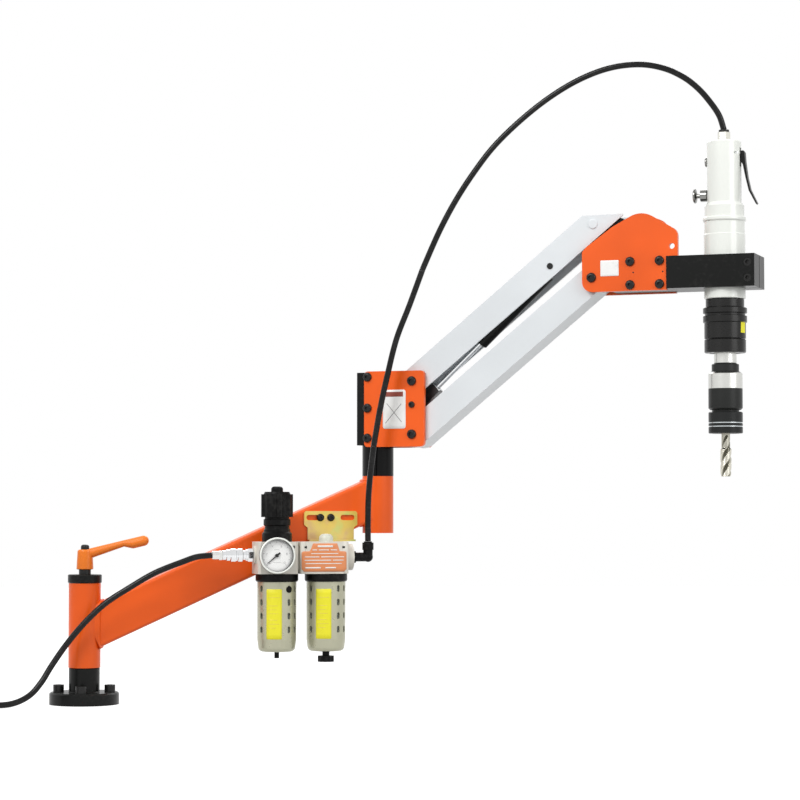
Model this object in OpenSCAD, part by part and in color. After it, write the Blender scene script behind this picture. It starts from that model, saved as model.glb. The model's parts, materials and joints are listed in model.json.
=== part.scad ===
/* [Base] */
// Diameter of the round base flange
flange_d = 115; // [105:1:140]
// Thickness of the base flange
flange_t = 20; // [14:1:30]
// Chamfer on the upper rim of the flange
flange_chamfer = 2.5; // [1:0.5:5]
// Diameter of the collar that the lower arm turns on
collar_d = 51; // [50:1:56]
// Height of the collar above the flange
collar_h = 40; // [20:1:60]
// Circle that the flange bolts stand on
bolt_pcd = 85; // [82:1:94]
// Thread diameter of the flange bolts
bolt_d = 12; // [8:1:14]
// Room round the flange bolts in their holes, across
bolt_room = 2.5; // [2.4:0.1:4]
// Head diameter of the flange bolts
bolt_head_d = 18; // [17:1:22]
// Head height of the flange bolts
bolt_head_h = 12; // [8:1:14]
// Reach of the flange bolts below the flange, into the bench
bolt_reach = 22; // [10:1:40]
// Diameter of the swivel posts inside both arm tubes
post_d = 35; // [28:1:38]

/* [Clamp lever] */
// Diameter of the black ring on top of the base tube
ring_d = 56; // [52:1:62]
// Height of the black ring
ring_h = 14; // [8:1:20]
// Diameter of the clamp stud
stud_d = 12; // [8:1:14]
// Diameter of the spacer under the lever hub
spacer_d = 20; // [16:1:26]
// Height of the spacer
spacer_h = 8; // [4:1:14]
// Diameter of the lever hub at its foot
hub_d = 28; // [24:1:32]
// Height of the lever hub
hub_h = 33; // [28:1:40]
// Reach of the lever from the stud
lever_reach = 106; // [80:1:130]
// Rise angle of the lever
lever_rise = 13.5; // [5:0.5:20]
// Thickness of the lever arm
lever_t = 10.5; // [9:0.5:13]

/* [Lower arm] */
// Yaw of the lower arm at rest
arm_yaw = 14; // [0:1:25]
// Distance between the two swivel axes
arm_len = 500; // [480:1:560]
// Pitch of the sloping tube
arm_pitch = 24.3; // [20:0.1:26]
// Height of the tube's section
arm_h = 67.5; // [56:0.5:70]
// Width of the tube's section
arm_w = 40; // [34:1:44]
// Corner radius of the tube's section
arm_corner = 6; // [2:0.5:10]
// Wall of the sloping tube
arm_wall = 4; // [2:0.5:6]
// Outer diameter of both upright tubes
tube_d = 53; // [50:0.5:54]
// Length of the base tube
base_tube_len = 140; // [130:1:160]
// Height of the sloping tube's centre line at the base axis
arm_z0 = 119.7; // [116:0.1:122]
// Length of the outer tube below the sloping tube's centre line
outer_below = 64; // [56:1:70]
// Length of the outer tube above the sloping tube's centre line
outer_above = 33; // [32:1:46]
// Outer diameter of the bronze bushes
bush_d = 43; // [41:1:44]
// Length of the bronze bushes
bush_len = 30; // [20:1:34]
// Leg of the weld fillets
weld_leg = 5; // [3:0.5:8]

/* [Pivot block] */
// Yaw of the upper arm at rest
head_yaw = -20; // [-35:1:0]
// Diameter of the black swivel post
swivel_d = 53.5; // [48:0.5:54]
// Visible height of the swivel post
swivel_h = 52; // [30:1:70]
// Length of the block along the arm
block_len = 55; // [50:1:60]
// Width of the block between the side plates
block_w = 60; // [58:1:66]
// Height of the block
block_h = 124; // [120:1:126]
// Thickness of all side plates
plate_t = 8; // [6:0.5:10]
// Left edge of the block's side plates, from the swivel axis
plate_left = 11; // [10:1:20]
// Right edge of the block's side plates, from the swivel axis
plate_right = 97; // [94:1:105]
// Height of the block's side plates
plate_h = 128.5; // [126:0.5:131]
// Drop of the block's side plates below the block
plate_drop = 3; // [1:0.5:4]
// Corner radius of the side plates
plate_corner = 6.5; // [3:0.5:10]

/* [Links] */
// Length of both links between their pins
link_len = 405; // [380:1:460]
// Angle of the links above level at rest
link_rest = 39; // [34:1:44]
// Height of the link section
link_h = 45; // [40:1:46]
// Width of the link section
link_w = 56; // [50:1:57]
// Wall of the link section
link_wall = 3.5; // [2.5:0.5:5]
// Height between the two links' pins
pin_spacing = 90; // [86:1:94]
// Distance of the link pins from the swivel axis
pin_x = 75; // [70:1:80]
// Height of the lower link pin above the block's foot
pin_z = 18; // [16:1:24]
// Diameter of the link pins
pin_d = 12; // [8:1:14]
// Height of the gas strut's pin above the lower link pin
strut_z = 50; // [46:1:52]
// Distance of the strut's upper pin along the upper link
strut_s = 305; // [280:1:330]
// Offset of the strut's upper pin below the link's centre line
strut_t = 6; // [4:0.5:8]
// Diameter of the strut's pins
strut_pin_d = 8; // [6:0.5:9]
// Diameter of the strut's cylinder
cylinder_d = 25; // [24:0.5:28]
// Length of the strut's cylinder
cylinder_len = 180; // [160:1:200]
// Diameter of the strut's rod
rod_d = 10; // [8:0.5:10]
// Free play of the rod in the cylinder's bore, each side
rod_play = 4; // [3.8:0.1:5]
// Length of the fork at the foot of the rod
fork_len = 46; // [40:1:60]
// Width of the fork
fork_w = 20; // [16:1:20]

/* [Head] */
// Foot of the head plates below the lower head pin
head_foot = 24; // [22.5:0.5:30]
// Left edge of the head plates from the lower head pin
head_left = 16; // [14:1:20]
// Reach of the front head plate to the right of the lower head pin
head_right = 145.5; // [140:0.5:155]
// Place of the head plates' ridge right of the lower head pin
ridge_x = 84; // [80:1:88]
// Height of the ridge above the lower head pin
ridge_z = 103; // [98:1:106]
// Radius of the ridge
ridge_r = 38; // [32:1:42]
// Height of the head plates' left edge above the lower head pin
brow_z = 42; // [38:1:48]
// Height of the right shoulder above the lower head pin
shoulder_z = 64; // [60:1:68]
// Radius of the right shoulder
shoulder_r = 15; // [12:1:18]
// Left face of the lug between the head plates, from the lower head pin
lug_left = 62; // [58:1:66]
// Right face of the lug, from the lower head pin
lug_right = 106; // [100:1:110]
// Height of the lug above the lower head pin
lug_top = 86; // [82:1:88]
// Radius of the lug's eye round the upper head pin
lug_r = 13; // [11:0.5:14]
// Left face of the motor holder from the lower head pin
holder_x = 126.6; // [120:1:130]
// Distance of the tool axis from the lower head pin
tool_x = 215; // [200:1:230]
// Right end of the motor holder from the tool axis
holder_end = 57; // [54:1:64]
// Width of the motor holder
holder_w = 80; // [78:1:90]
// Height of the motor holder
holder_h = 53; // [45:1:55]
// Height of the motor holder's foot above the head plates' foot
holder_lift = 2; // [1:0.5:4]
// Width of the clamping slot in the holder
slot_w = 3; // [2:0.5:5]

/* [Motor] */
// Diameter of the motor body
motor_d = 67.5; // [62:0.5:70]
// Length of the motor nose below the holder
nose_len = 17; // [10:1:25]
// Height of the motor body above the holder
body_above = 64; // [50:1:80]
// Diameter of the lip ring on the motor body
lip_d = 70.5; // [70:0.5:74]
// Diameter of the motor head
head_d = 56; // [50:0.5:58]
// Height of the motor head above the body
head_tall = 125; // [110:1:140]
// Diameter of the hose nut
nut_d = 21; // [18:0.5:24]
// Height of the hose nut with its collar
nut_h = 18.7; // [15:0.1:22]

/* [Chuck] */
// Diameter of the chuck body
chuck_d = 67.5; // [64:0.5:70]
// Diameter of the two ribs on the chuck body
rib_d = 71.5; // [71:0.5:76]
// Height of the chuck body with its sleeve
chuck_h = 88; // [84:1:95]
// Height of the release sleeve
sleeve_h = 22; // [16:1:26]
// Travel of the release sleeve
sleeve_travel = 6; // [3:0.5:8]
// Diameter of the adapter's shank
shank_d = 36.6; // [30:0.2:38]
// Visible length of the adapter's shank
shank_show = 18; // [14:1:24]
// Diameter of the adapter
adapter_d = 55.6; // [52:0.2:60]
// Height of the adapter below its shank
adapter_h = 113; // [105:1:118]
// Diameter of the tap
tap_d = 19; // [12:0.5:22]
// Diameter of the tap's shank
tap_shank_d = 14; // [10:0.5:16]
// Length of the tap below the adapter
tap_len = 70; // [60:1:90]
// Number of flutes on the tap
flutes = 3; // [3:1:4]

/* [Air service unit] */
// Distance of the unit's centre plane in front of the arm's centre plane
unit_v = 68; // [66:1:75]
// Distance of the filter bowl from the outer swivel axis, along the arm
unit_back = 189; // [185:0.5:195]
// Distance between the filter bowl and the lubricator bowl
unit_pitch = 83.5; // [80:0.5:87]
// Depth of the two unit bodies
unit_depth = 62; // [58:1:66]
// Height of the two unit bodies
unit_h = 53; // [46:1:58]
// Drop of the unit bodies' foot below the arm's outer end
unit_drop = 130.46; // [126:0.02:134]
// Outer diameter of the bowl guards
guard_d = 65; // [60:0.5:68]
// Height of the bowl guards with their rings
guard_h = 129; // [122:1:136]
// Diameter of the rings above the bowls
bowl_ring_d = 71; // [69:0.5:74]
// Height of the rings above the bowls
bowl_ring_h = 13; // [11:0.5:18]
// Diameter of the regulator knob
knob_d = 54; // [48:0.5:58]
// Height of the regulator knob
knob_h = 42; // [38:1:48]
// Diameter of the pressure gauge
gauge_d = 59; // [50:0.5:62]
// Depth of the pressure gauge's case
gauge_depth = 24; // [18:1:30]
// Outer diameter of the quick coupler's sleeve
coupler_d = 22; // [19:0.5:26]
// Length of the quick coupler
coupler_len = 52; // [46:1:60]
// Thickness of the mounting bracket
bracket_t = 3; // [2:0.5:4]
// Diameter of the bracket bolts
bracket_bolt_d = 8; // [6:0.5:9]

/* [Hoses] */
// Outer diameter of both hoses
hose_d = 10; // [10:0.5:10]
// Turns of the stored hose in one layer
coil_turns = 3; // [2:1:3]
// Mid radius of the stored coil
coil_r = 58; // [56:1:62]

/* [Hidden] */

$fn = 64;
// radial play of every shaft in its bore
fit = 0.05;
// axial play between pieces that turn on each other
play = 0.3;
// overshoot of a cutting tool past the face it cuts
over = 1;
// play between the two link flanks and the plates or lugs beside them
flank = 0.4;

orange = [0.91, 0.36, 0.11];
black = [0.09, 0.09, 0.09];
steel = [0.72, 0.73, 0.74];
grey_white = [0.87, 0.89, 0.90];
chrome = [0.80, 0.81, 0.83];
bronze = [0.70, 0.50, 0.25];
zinc = [0.66, 0.67, 0.60];
gold = [0.82, 0.70, 0.36];

// heights on the base axis
collar_top = flange_t + collar_h;
base_tube_z = collar_top + play;
base_tube_top = base_tube_z + base_tube_len - 2 * play;
ring_z = base_tube_top + play;
ring_top = ring_z + ring_h;
hub_z = ring_top + spacer_h + play;
tube_bore = bush_d + 2 * fit;

// the outer swivel axis and the heights on it
elbow = [arm_len * cos(arm_yaw), arm_len * sin(arm_yaw)];
arm_z1 = arm_z0 + arm_len * tan(arm_pitch);
outer_z = arm_z1 - outer_below;
outer_top = arm_z1 + outer_above;
swivel_z = outer_top + play;
block_z = swivel_z + swivel_h;

// pins of the links, in the plane of the upper arm
p1 = [pin_x, block_z + pin_z];
u1 = p1 + [0, pin_spacing];
reach = link_len * [cos(link_rest), sin(link_rest)];
p2 = p1 + reach;
u2 = u1 + reach;
g1 = p1 + [0, strut_z];
g2 = u1 + strut_s * [cos(link_rest), sin(link_rest)]
    + strut_t * [sin(link_rest), -cos(link_rest)];
strut_len = norm(g2 - g1);
strut_angle = atan2(g2[1] - g1[1], g2[0] - g1[0]);
plate_y = block_w / 2 + plate_t / 2;

// heights of the head and the tool
head_z = p2[1] - head_foot;
holder_z = head_z + holder_lift;
holder_top = holder_z + holder_h;
tool = p2[0] + tool_x;
nose_z = holder_z - nose_len;
body_top = holder_top + body_above;
head_top = body_top + head_tall;
chuck_top = nose_z - play;
chuck_z = chuck_top - chuck_h;
adapter_top = chuck_z - shank_show;
adapter_z = adapter_top - adapter_h;

// places of the air service unit, along the arm
filter_u = arm_len - unit_back;
lub_u = filter_u + unit_pitch;
unit_z = arm_z1 - unit_drop;
unit_top = unit_z + unit_h;
unit_gap = 3.5;
unit_share = 0.363;
reg_left = filter_u - 37;
reg_right = filter_u + unit_share * unit_pitch;
lub_left = reg_right + unit_gap;
lub_right = lub_u + 32;
port_z = unit_z + 31;
out_z = port_z - 4;
guard_z = unit_z - guard_h;
bonnet_h = 41;
knob_z = unit_top + bonnet_h;
gauge_u = filter_u - 10.5;
gauge_v = unit_v + unit_depth / 2;

function arc(c, r, a0, a1, n = 8) =
    [for (i = [0 : n]) let (a = a0 + (a1 - a0) * i / n) c + r * [cos(a), sin(a)]];

function box_outline(w, h, r, n = 6) = concat(
    arc([w / 2 - r, h / 2 - r], r, 0, 90, n),
    arc([r - w / 2, h / 2 - r], r, 90, 180, n),
    arc([r - w / 2, r - h / 2], r, 180, 270, n),
    arc([w / 2 - r, r - h / 2], r, 270, 360, n));

function bent_box(w, h, c) = [[-w / 2 + c, -h / 2], [w / 2 - c, -h / 2],
    [w / 2, -h / 2 + c], [w / 2, h / 2 - c], [w / 2 - c, h / 2],
    [-w / 2 + c, h / 2], [-w / 2, h / 2 - c], [-w / 2, -h / 2 + c]];

module on_arm() {
    rotate([0, 0, arm_yaw]) children();
}

module on_head() {
    translate([elbow[0], elbow[1], 0]) rotate([0, 0, head_yaw]) children();
}

// a slab of the side outline, standing in the plane of an arm
module side_slab(t, y = 0) {
    translate([0, y + t / 2, 0]) rotate([90, 0, 0]) linear_extrude(t) children();
}

// a round bar or hole across the plane of an arm
module cross(p, d, len, y = 0) {
    translate([p[0], y, p[1]]) rotate([90, 0, 0])
        cylinder(d = d, h = len, center = true);
}

// a round bar from one point towards +X
module along_x(x0, x1, d, z = 0) {
    translate([x0, 0, z]) rotate([0, 90, 0]) cylinder(d = d, h = x1 - x0);
}

module hex_recess(af, depth) {
    translate([0, 0, -depth]) cylinder(d = af / cos(30), h = depth + over, $fn = 6);
}

// socket head bolt: the head stands on z = 0 and the shank hangs below it
module socket_bolt(d, head_d, head_h, len) {
    difference() {
        union() {
            cylinder(d = head_d, h = head_h);
            translate([0, 0, -len]) cylinder(d = d, h = len + over);
        }
        translate([0, 0, head_h]) hex_recess(d * 0.8, head_h * 0.55);
    }
}

// button head screw, rounded on top, on z = 0
module button_screw(d, head_d, head_h, len) {
    difference() {
        union() {
            rotate_extrude() polygon(concat([[0, 0]],
                [[head_d / 2, 0]], arc([head_d / 2 - head_h * 0.8, head_h * 0.2],
                head_h * 0.8, 0, 90, 5), [[0, head_h]]));
            translate([0, 0, -len]) cylinder(d = d, h = len + over / 2);
        }
        translate([0, 0, head_h]) hex_recess(d * 0.62, head_h * 0.6);
    }
}

module base_flange() {
    color(black) difference() {
        rotate_extrude() polygon([[0, 0], [flange_d / 2, 0],
            [flange_d / 2, flange_t - flange_chamfer],
            [flange_d / 2 - flange_chamfer, flange_t],
            [collar_d / 2 + 1, flange_t], [collar_d / 2, flange_t + 1],
            [collar_d / 2, collar_top - 1], [collar_d / 2 - 1, collar_top],
            [0, collar_top]]);
        translate([0, 0, 6]) cylinder(d = post_d + 2 * fit, h = collar_top);
        for (a = [0 : 90 : 270])
            rotate([0, 0, a]) translate([bolt_pcd / 2, 0, -over])
                cylinder(d = bolt_d + bolt_room, h = flange_t + 2 * over);
    }
}

module flange_bolts() {
    color(black) for (a = [0 : 90 : 270])
        rotate([0, 0, a]) translate([bolt_pcd / 2, 0, flange_t])
            socket_bolt(bolt_d, bolt_head_d, bolt_head_h, flange_t + bolt_reach);
}

module base_post() {
    color(steel) difference() {
        translate([0, 0, 6.1]) cylinder(d = post_d, h = ring_z - 6.1);
        translate([0, 0, ring_z - 40]) cylinder(d = stud_d + 2 * fit, h = 41);
    }
}

module cap_ring() {
    color(black) rotate_extrude() polygon(concat(
        [[stud_d / 2 + fit, ring_z], [ring_d / 2 - 1, ring_z], [ring_d / 2, ring_z + 1]],
        arc([ring_d / 2 - 2, ring_top - 2], 2, 0, 90, 4),
        [[stud_d / 2 + fit, ring_top]]));
}

module clamp_stud() {
    color(steel) union() {
        translate([0, 0, ring_z - 38]) cylinder(d = stud_d, h = hub_z + 24 - ring_z + 38);
        translate([0, 0, ring_top]) cylinder(d = spacer_d, h = spacer_h);
    }
}

// a ball of the lever, its top on the line that rises from the hub's top
module lever_ball(x, d) {
    translate([x, 0, hub_z + hub_h + x * tan(lever_rise) - d / 2 / cos(lever_rise)])
        sphere(d = d, $fn = 24);
}

module clamp_lever() {
    root_d = lever_t * 1.6;
    grip_d = lever_t * 1.65;
    tip = lever_reach - grip_d / 2;
    color(orange) difference() {
        union() {
            translate([0, 0, hub_z]) rotate_extrude() polygon(concat(
                [[0, 0], [hub_d / 2 - 1, 0], [hub_d / 2, 1], [hub_d / 2 - 1.5, hub_h - 4]],
                arc([hub_d / 2 - 5.5, hub_h - 4], 4, 0, 90, 5), [[0, hub_h]]));
            hull() {
                lever_ball(hub_d / 4, root_d);
                lever_ball(tip * 0.66, lever_t);
            }
            hull() {
                lever_ball(tip * 0.66, lever_t);
                lever_ball(tip * 0.82, grip_d);
                lever_ball(tip, grip_d);
            }
        }
        translate([0, 0, hub_z - over]) cylinder(d = stud_d + 2 * fit, h = 26 + over);
        translate([0, 0, hub_z + hub_h - 4]) cylinder(d = 8 + 2 * fit, h = 20);
        translate([0, 0, hub_z + hub_h]) cylinder(d = 14 + 2 * play, h = 20);
    }
}

module lever_screw() {
    z = hub_z + hub_h;
    color(black) difference() {
        union() {
            translate([0, 0, z - 3.9]) cylinder(d = 8, h = 5);
            translate([0, 0, z + play / 3]) rotate_extrude() polygon(concat([[0, 0], [7, 0]],
                arc([3, 4], 4, 0, 90, 5), [[0, 8]]));
        }
        translate([0, 0, z + 8 + play / 3]) hex_recess(5, 5);
    }
}

// the sloping tube's centre line, as a child's own X axis
module along_slope() {
    translate([0, 0, arm_z0]) rotate([0, -arm_pitch, 0]) children();
}

module slope_bar(w, h, r, x0, x1) {
    along_slope() translate([x0, 0, 0]) rotate([90, 0, 90])
        linear_extrude(x1 - x0) polygon(box_outline(w, h, r));
}

module lower_arm() {
    slope_len = arm_len / cos(arm_pitch);
    inner = arm_wall * 2;
    color(orange) on_arm() difference() {
        union() {
            translate([0, 0, base_tube_z]) cylinder(d = tube_d, h = base_tube_top - base_tube_z);
            translate([arm_len, 0, outer_z]) cylinder(d = tube_d, h = outer_top - outer_z);
            difference() {
                union() {
                    slope_bar(arm_w, arm_h, arm_corner, 12, slope_len - 12);
                    weld_fillets();
                }
                slope_bar(arm_w - inner, arm_h - inner, arm_corner / 2, 14, slope_len - 14);
            }
        }
        translate([0, 0, base_tube_z - over]) cylinder(d = tube_bore, h = base_tube_len + 2 * over);
        translate([arm_len, 0, outer_z - over])
            cylinder(d = tube_bore, h = outer_top - outer_z + 2 * over);
        along_slope() along_x(0, 60, 16);
        along_slope() along_x(slope_len - 60, slope_len, 16);
    }
}

// weld throats where the sloping tube meets the upright ones
module weld_fillets() {
    for (end = [[0, 1], [arm_len, -1]])
        translate([end[0], 0, 0]) intersection() {
            translate([0, 0, end[1] > 0 ? base_tube_z : outer_z])
                cylinder(d = tube_d + 2 * weld_leg,
                    h = end[1] > 0 ? base_tube_top - base_tube_z : outer_top - outer_z);
            translate([-end[0], 0, 0]) slope_bar(arm_w + weld_leg, arm_h + weld_leg,
                arm_corner + weld_leg / 2, end[0] > 0 ? arm_len * 0.9 : 10,
                end[0] > 0 ? arm_len * 1.08 : arm_len * 0.2);
        }
}

module bush(z) {
    translate([0, 0, z]) difference() {
        cylinder(d = bush_d, h = bush_len);
        translate([0, 0, -over]) cylinder(d = post_d + 2 * fit, h = bush_len + 2 * over);
    }
}

module arm_bushes() {
    color(bronze) on_arm() {
        bush(base_tube_z);
        bush(base_tube_top - bush_len);
        translate([arm_len, 0, 0]) bush(outer_z + 2);
        translate([arm_len, 0, 0]) bush(outer_top - bush_len);
    }
}

// mounting bracket: a plate on the arm's flank, a step and a foot behind the lubricator
bracket_u = lub_u + 18;
bracket_top = arm_z0 + bracket_u * tan(arm_pitch) + 13;
bracket_bolt_z = bracket_top - 11;
bracket_mid = bracket_top - 28;
bracket_bolt_u = [bracket_u - 18, bracket_u];
bracket_slots = [[-28, 28], [29, 24]];
module frl_bracket() {
    face = arm_w / 2;
    back = unit_v - unit_depth / 2;
    color(gold) on_arm() difference() {
        union() {
            side_slab(bracket_t, -face - bracket_t / 2) polygon([
                [bracket_u - 40, unit_top + 1], [bracket_u + 40, unit_top + 1],
                [bracket_u + 40, bracket_mid], [bracket_u + 46, bracket_mid + 5],
                [bracket_u + 46, bracket_top - 3], [bracket_u + 43, bracket_top],
                [bracket_u - 43, bracket_top], [bracket_u - 46, bracket_top - 3],
                [bracket_u - 46, bracket_mid + 5], [bracket_u - 40, bracket_mid]]);
            translate([bracket_u - 40, -back, unit_top + 3 - bracket_t])
                cube([80, back - face, bracket_t]);
            translate([bracket_u - 40, -back, unit_z + 8])
                cube([56, bracket_t, unit_h - 5]);
        }
        for (slot = bracket_slots)
            side_slab(4 * bracket_t, -face) translate([bracket_u + slot[0], bracket_bolt_z])
                polygon(box_outline(slot[1], bracket_bolt_d + 1, bracket_bolt_d / 2));
        for (u = bracket_bolt_u)
            cross([u, bracket_bolt_z], bracket_bolt_d + 0.4, 20, -face);
    }
}

module bracket_bolts() {
    color(black) on_arm() for (u = bracket_bolt_u)
        translate([u, -arm_w / 2 - bracket_t, bracket_bolt_z]) rotate([90, 0, 0])
            button_screw(bracket_bolt_d, 13, 5, bracket_t);
}

module unit_block(left, right, c) {
    translate([(left + right) / 2, -unit_v, 0])
        linear_extrude(unit_h) polygon(bent_box(right - left, unit_depth, c));
}

module body_screws(left, right) {
    for (u = [left + 8, right - 8])
        translate([u, -gauge_v, unit_top - 9]) rotate([90, 0, 0])
            button_screw(4, 6, 1, 6);
}

module regulator_body() {
    color(zinc) on_arm() difference() {
        union() {
            translate([0, 0, unit_z]) unit_block(reg_left, reg_right, 4);
            translate([filter_u, -unit_v, unit_z - 4]) cylinder(d = guard_d - 6, h = 5);
            along_v(reg_left - 3, reg_left + over, 30, port_z);
        }
        along_v(reg_left - 4, reg_left + 14, 14, port_z);
        translate([gauge_u, over - gauge_v, port_z]) rotate([90, 0, 0])
            translate([0, 0, -12]) cylinder(d = 10 + 2 * fit, h = 14);
        translate([filter_u, -unit_v, unit_top - 6]) cylinder(d = 40 + 2 * fit, h = 7);
        for (u = [reg_left + 8, reg_right - 8])
            cross([u, unit_top - 9], 6.4, 3, -gauge_v);
    }
}

// a round bar along the arm, in the service unit's plane
module along_v(u0, u1, d, z) {
    translate([0, -unit_v, 0]) along_x(u0, u1, d, z);
}

module regulator_bonnet() {
    color(black) on_arm() translate([filter_u, -unit_v, unit_top]) difference() {
        rotate_extrude() polygon([[0, -5.8], [20, -5.8], [20, 0.1], [25, 0.1],
            [25, 14], [22, 17], [22, 20], [20.5, 22], [20.5, 26], [22.5, 28], [22.5, 37],
            [20.5, 38], [20.5, bonnet_h + 14], [0, bonnet_h + 14]]);
        translate([0, 0, -6 - over]) cylinder(d = 30, h = bonnet_h);
    }
}

module regulator_knob() {
    lobes = 8;
    color(black) on_arm() translate([filter_u, -unit_v, knob_z]) difference() {
        union() {
            linear_extrude(knob_h - 4) polygon([for (i = [0 : 95]) let (a = i * 360 / 96,
                r = knob_d / 2 - 2.2 + 2.2 * max(-0.9, min(0.9, 1.6 * cos(lobes * a))))
                r * [cos(a), sin(a)]]);
            translate([0, 0, knob_h - 4.1]) rotate_extrude() polygon([[0, 0],
                [knob_d / 2 - 4.5, 0], [knob_d / 2 - 6.5, 4.1], [0, 4.1]]);
            translate([0, 0, knob_h - 1]) rotate_extrude() polygon(concat([[0, 0], [10, 0],
                [10, 3]], arc([5, 5], 5, 0, 90, 5), [[0, 10]]));
        }
        translate([0, 0, -over]) cylinder(d = 41 + 2 * fit, h = 17 + over);
    }
}

module gauge_frame() {
    on_arm() translate([gauge_u, -gauge_v, port_z]) rotate([90, 0, 0]) children();
}

module gauge_case() {
    color(black) gauge_frame() difference() {
        union() {
            translate([0, 0, -8]) cylinder(d = 10, h = 12);
            translate([0, 0, play]) cylinder(d = 20, h = 4);
            translate([0, 0, 4]) rotate_extrude() polygon([[0, 0], [gauge_d / 2 - 3, 0],
                [gauge_d / 2 - 2, gauge_depth - 8], [gauge_d / 2, gauge_depth - 7],
                [gauge_d / 2, gauge_depth - 1], [gauge_d / 2 - 1, gauge_depth], [0, gauge_depth]]);
        }
        translate([0, 0, gauge_depth - 3]) cylinder(d = gauge_d - 5, h = 10);
        translate([0, 0, gauge_depth - 9]) cylinder(d = 2 + 2 * fit, h = 10);
    }
}

module gauge_needle() {
    z = gauge_depth - 3;
    color(black) gauge_frame() union() {
        translate([0, 0, z - 5]) cylinder(d = 2, h = 8);
        translate([0, 0, z + 1]) cylinder(d = 6, h = 2);
        translate([0, 0, z + 1.4]) rotate([0, 0, -140]) linear_extrude(0.8)
            polygon([[-7, -1.4], [gauge_d / 2 - 8, -0.3], [gauge_d / 2 - 8, 0.3], [-7, 1.4]]);
    }
}

module gauge_lens() {
    color([0.9, 0.95, 0.95, 0.3]) gauge_frame() translate([0, 0, gauge_depth + 1.6])
        cylinder(d = gauge_d - 5 - 2 * fit, h = 1.8);
}

module lubricator_body() {
    color(zinc) on_arm() difference() {
        union() {
            translate([0, 0, unit_z]) unit_block(lub_left, lub_right, 9);
            translate([lub_u, -unit_v, unit_z - 4]) cylinder(d = guard_d - 6, h = 5);
            translate([reg_right, -unit_v - 20, unit_z + 6]) cube([lub_left - reg_right + over, 40, 38]);
            along_v(lub_right - over, lub_right + 12, 44, out_z);
        }
        along_v(lub_right - 6, lub_right + 14, 16 + 2 * fit, out_z);
        translate([lub_u, -unit_v, unit_top - 5]) cylinder(d = 24 + 2 * fit, h = 6);
        for (u = [lub_left + 8, lub_right - 8])
            cross([u, unit_top - 9], 6.4, 3, -gauge_v);
    }
}

module sight_dome() {
    color([0.85, 0.87, 0.82, 0.6]) on_arm() translate([lub_u, -unit_v, unit_top - 4.8])
        rotate_extrude() polygon(concat([[0, 0], [12, 0], [12, 10]],
            arc([4, 10], 8, 0, 90, 6), [[0, 18]]));
}

module bowl_rings() {
    color(black) on_arm() for (u = [filter_u, lub_u])
        translate([u, -unit_v, unit_z - bowl_ring_h]) rotate_extrude() polygon([
            [guard_d / 2 - 2.9, 1], [guard_d / 2 - 2.9, 0], [bowl_ring_d / 2 - 1.5, 0],
            [bowl_ring_d / 2, 2], [bowl_ring_d / 2, bowl_ring_h - play - 1],
            [bowl_ring_d / 2 - 1, bowl_ring_h - play], [guard_d / 2 - 2.9, bowl_ring_h - play]]);
}

// metal guard round a bowl: a deep cup with columns of sight slots
module guard(u, hole_d) {
    h = guard_h - bowl_ring_h;
    r = guard_d / 2;
    wall = 2.5;
    on_arm() translate([u, -unit_v, guard_z]) difference() {
        rotate_extrude() polygon(concat(
            [[hole_d / 2, 0], [r - 9.5, 0]], arc([r - 9.5, 8], 8, -90, -12, 5),
            [[r, 20], [r, h - play], [r - wall, h - play], [r - wall, 20]],
            arc([r - 9.5, 8.2], 5.6, -12, -90, 5), [[hole_d / 2, 2.6]]));
        for (a = [-153, -63, -35, 27, 63, 145], row = [0 : 3])
            rotate([0, 0, a]) translate([0, 0, 37 + row * 22.5]) sight_slot(r);
    }
}

module sight_slot(r) {
    translate([r - 5, 0, 0]) rotate([90, 0, 90]) linear_extrude(10)
        polygon(box_outline(6, 11, 2.9, 4));
}

module filter_guard() {
    color(zinc) guard(filter_u, 12);
}

module lubricator_guard() {
    color(zinc) guard(lub_u, 14);
}

module bowl_liners() {
    r = guard_d / 2 - 5;
    color([0.85, 0.88, 0.85, 0.5]) on_arm() for (item = [[filter_u, 8], [lub_u, 10]])
        translate([item[0], -unit_v, guard_z + 4]) rotate_extrude() polygon(concat(
            [[item[1] / 2 + fit, 0]], arc([r - 8, 8], 8, -90, 0, 5),
            [[r, guard_h - 8.3], [r - 2, guard_h - 8.3], [r - 2, 10]],
            arc([r - 10, 10], 8, 0, -90, 5), [[item[1] / 2 + fit, 2]]));
}

module filter_drain() {
    color(black) on_arm() translate([filter_u, -unit_v, guard_z]) union() {
        translate([0, 0, -11]) cylinder(d = 8, h = 20);
        translate([0, 0, 1]) cylinder(d = 11, h = 2.8);
    }
}

module lubricator_drain() {
    color(black) on_arm() translate([lub_u, -unit_v, guard_z]) union() {
        cylinder(d = 10, h = 9);
        translate([0, 0, -8]) cylinder(d = 12, h = 9);
        translate([0, 0, -18]) linear_extrude(10) polygon([for (i = [0 : 59])
            let (a = i * 6, r = 13 + 0.8 * cos(10 * a)) r * [cos(a), sin(a)]]);
    }
}

coupler_u = reg_left - 3 - play;
module inlet_coupler() {
    color(chrome) on_arm() translate([coupler_u, -unit_v, port_z]) rotate([0, -90, 0])
        difference() {
            union() {
                translate([0, 0, -10]) cylinder(d = 13.6, h = 11);
                cylinder(d = 21.5, h = 9, $fn = 6);
                translate([0, 0, 8]) cylinder(d = 16, h = coupler_len - 8);
                translate([0, 0, 9]) cylinder(d = 19, h = 4);
            }
            translate([0, 0, coupler_len - 22]) cylinder(d = 10 + 2 * fit, h = 23);
        }
}

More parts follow.
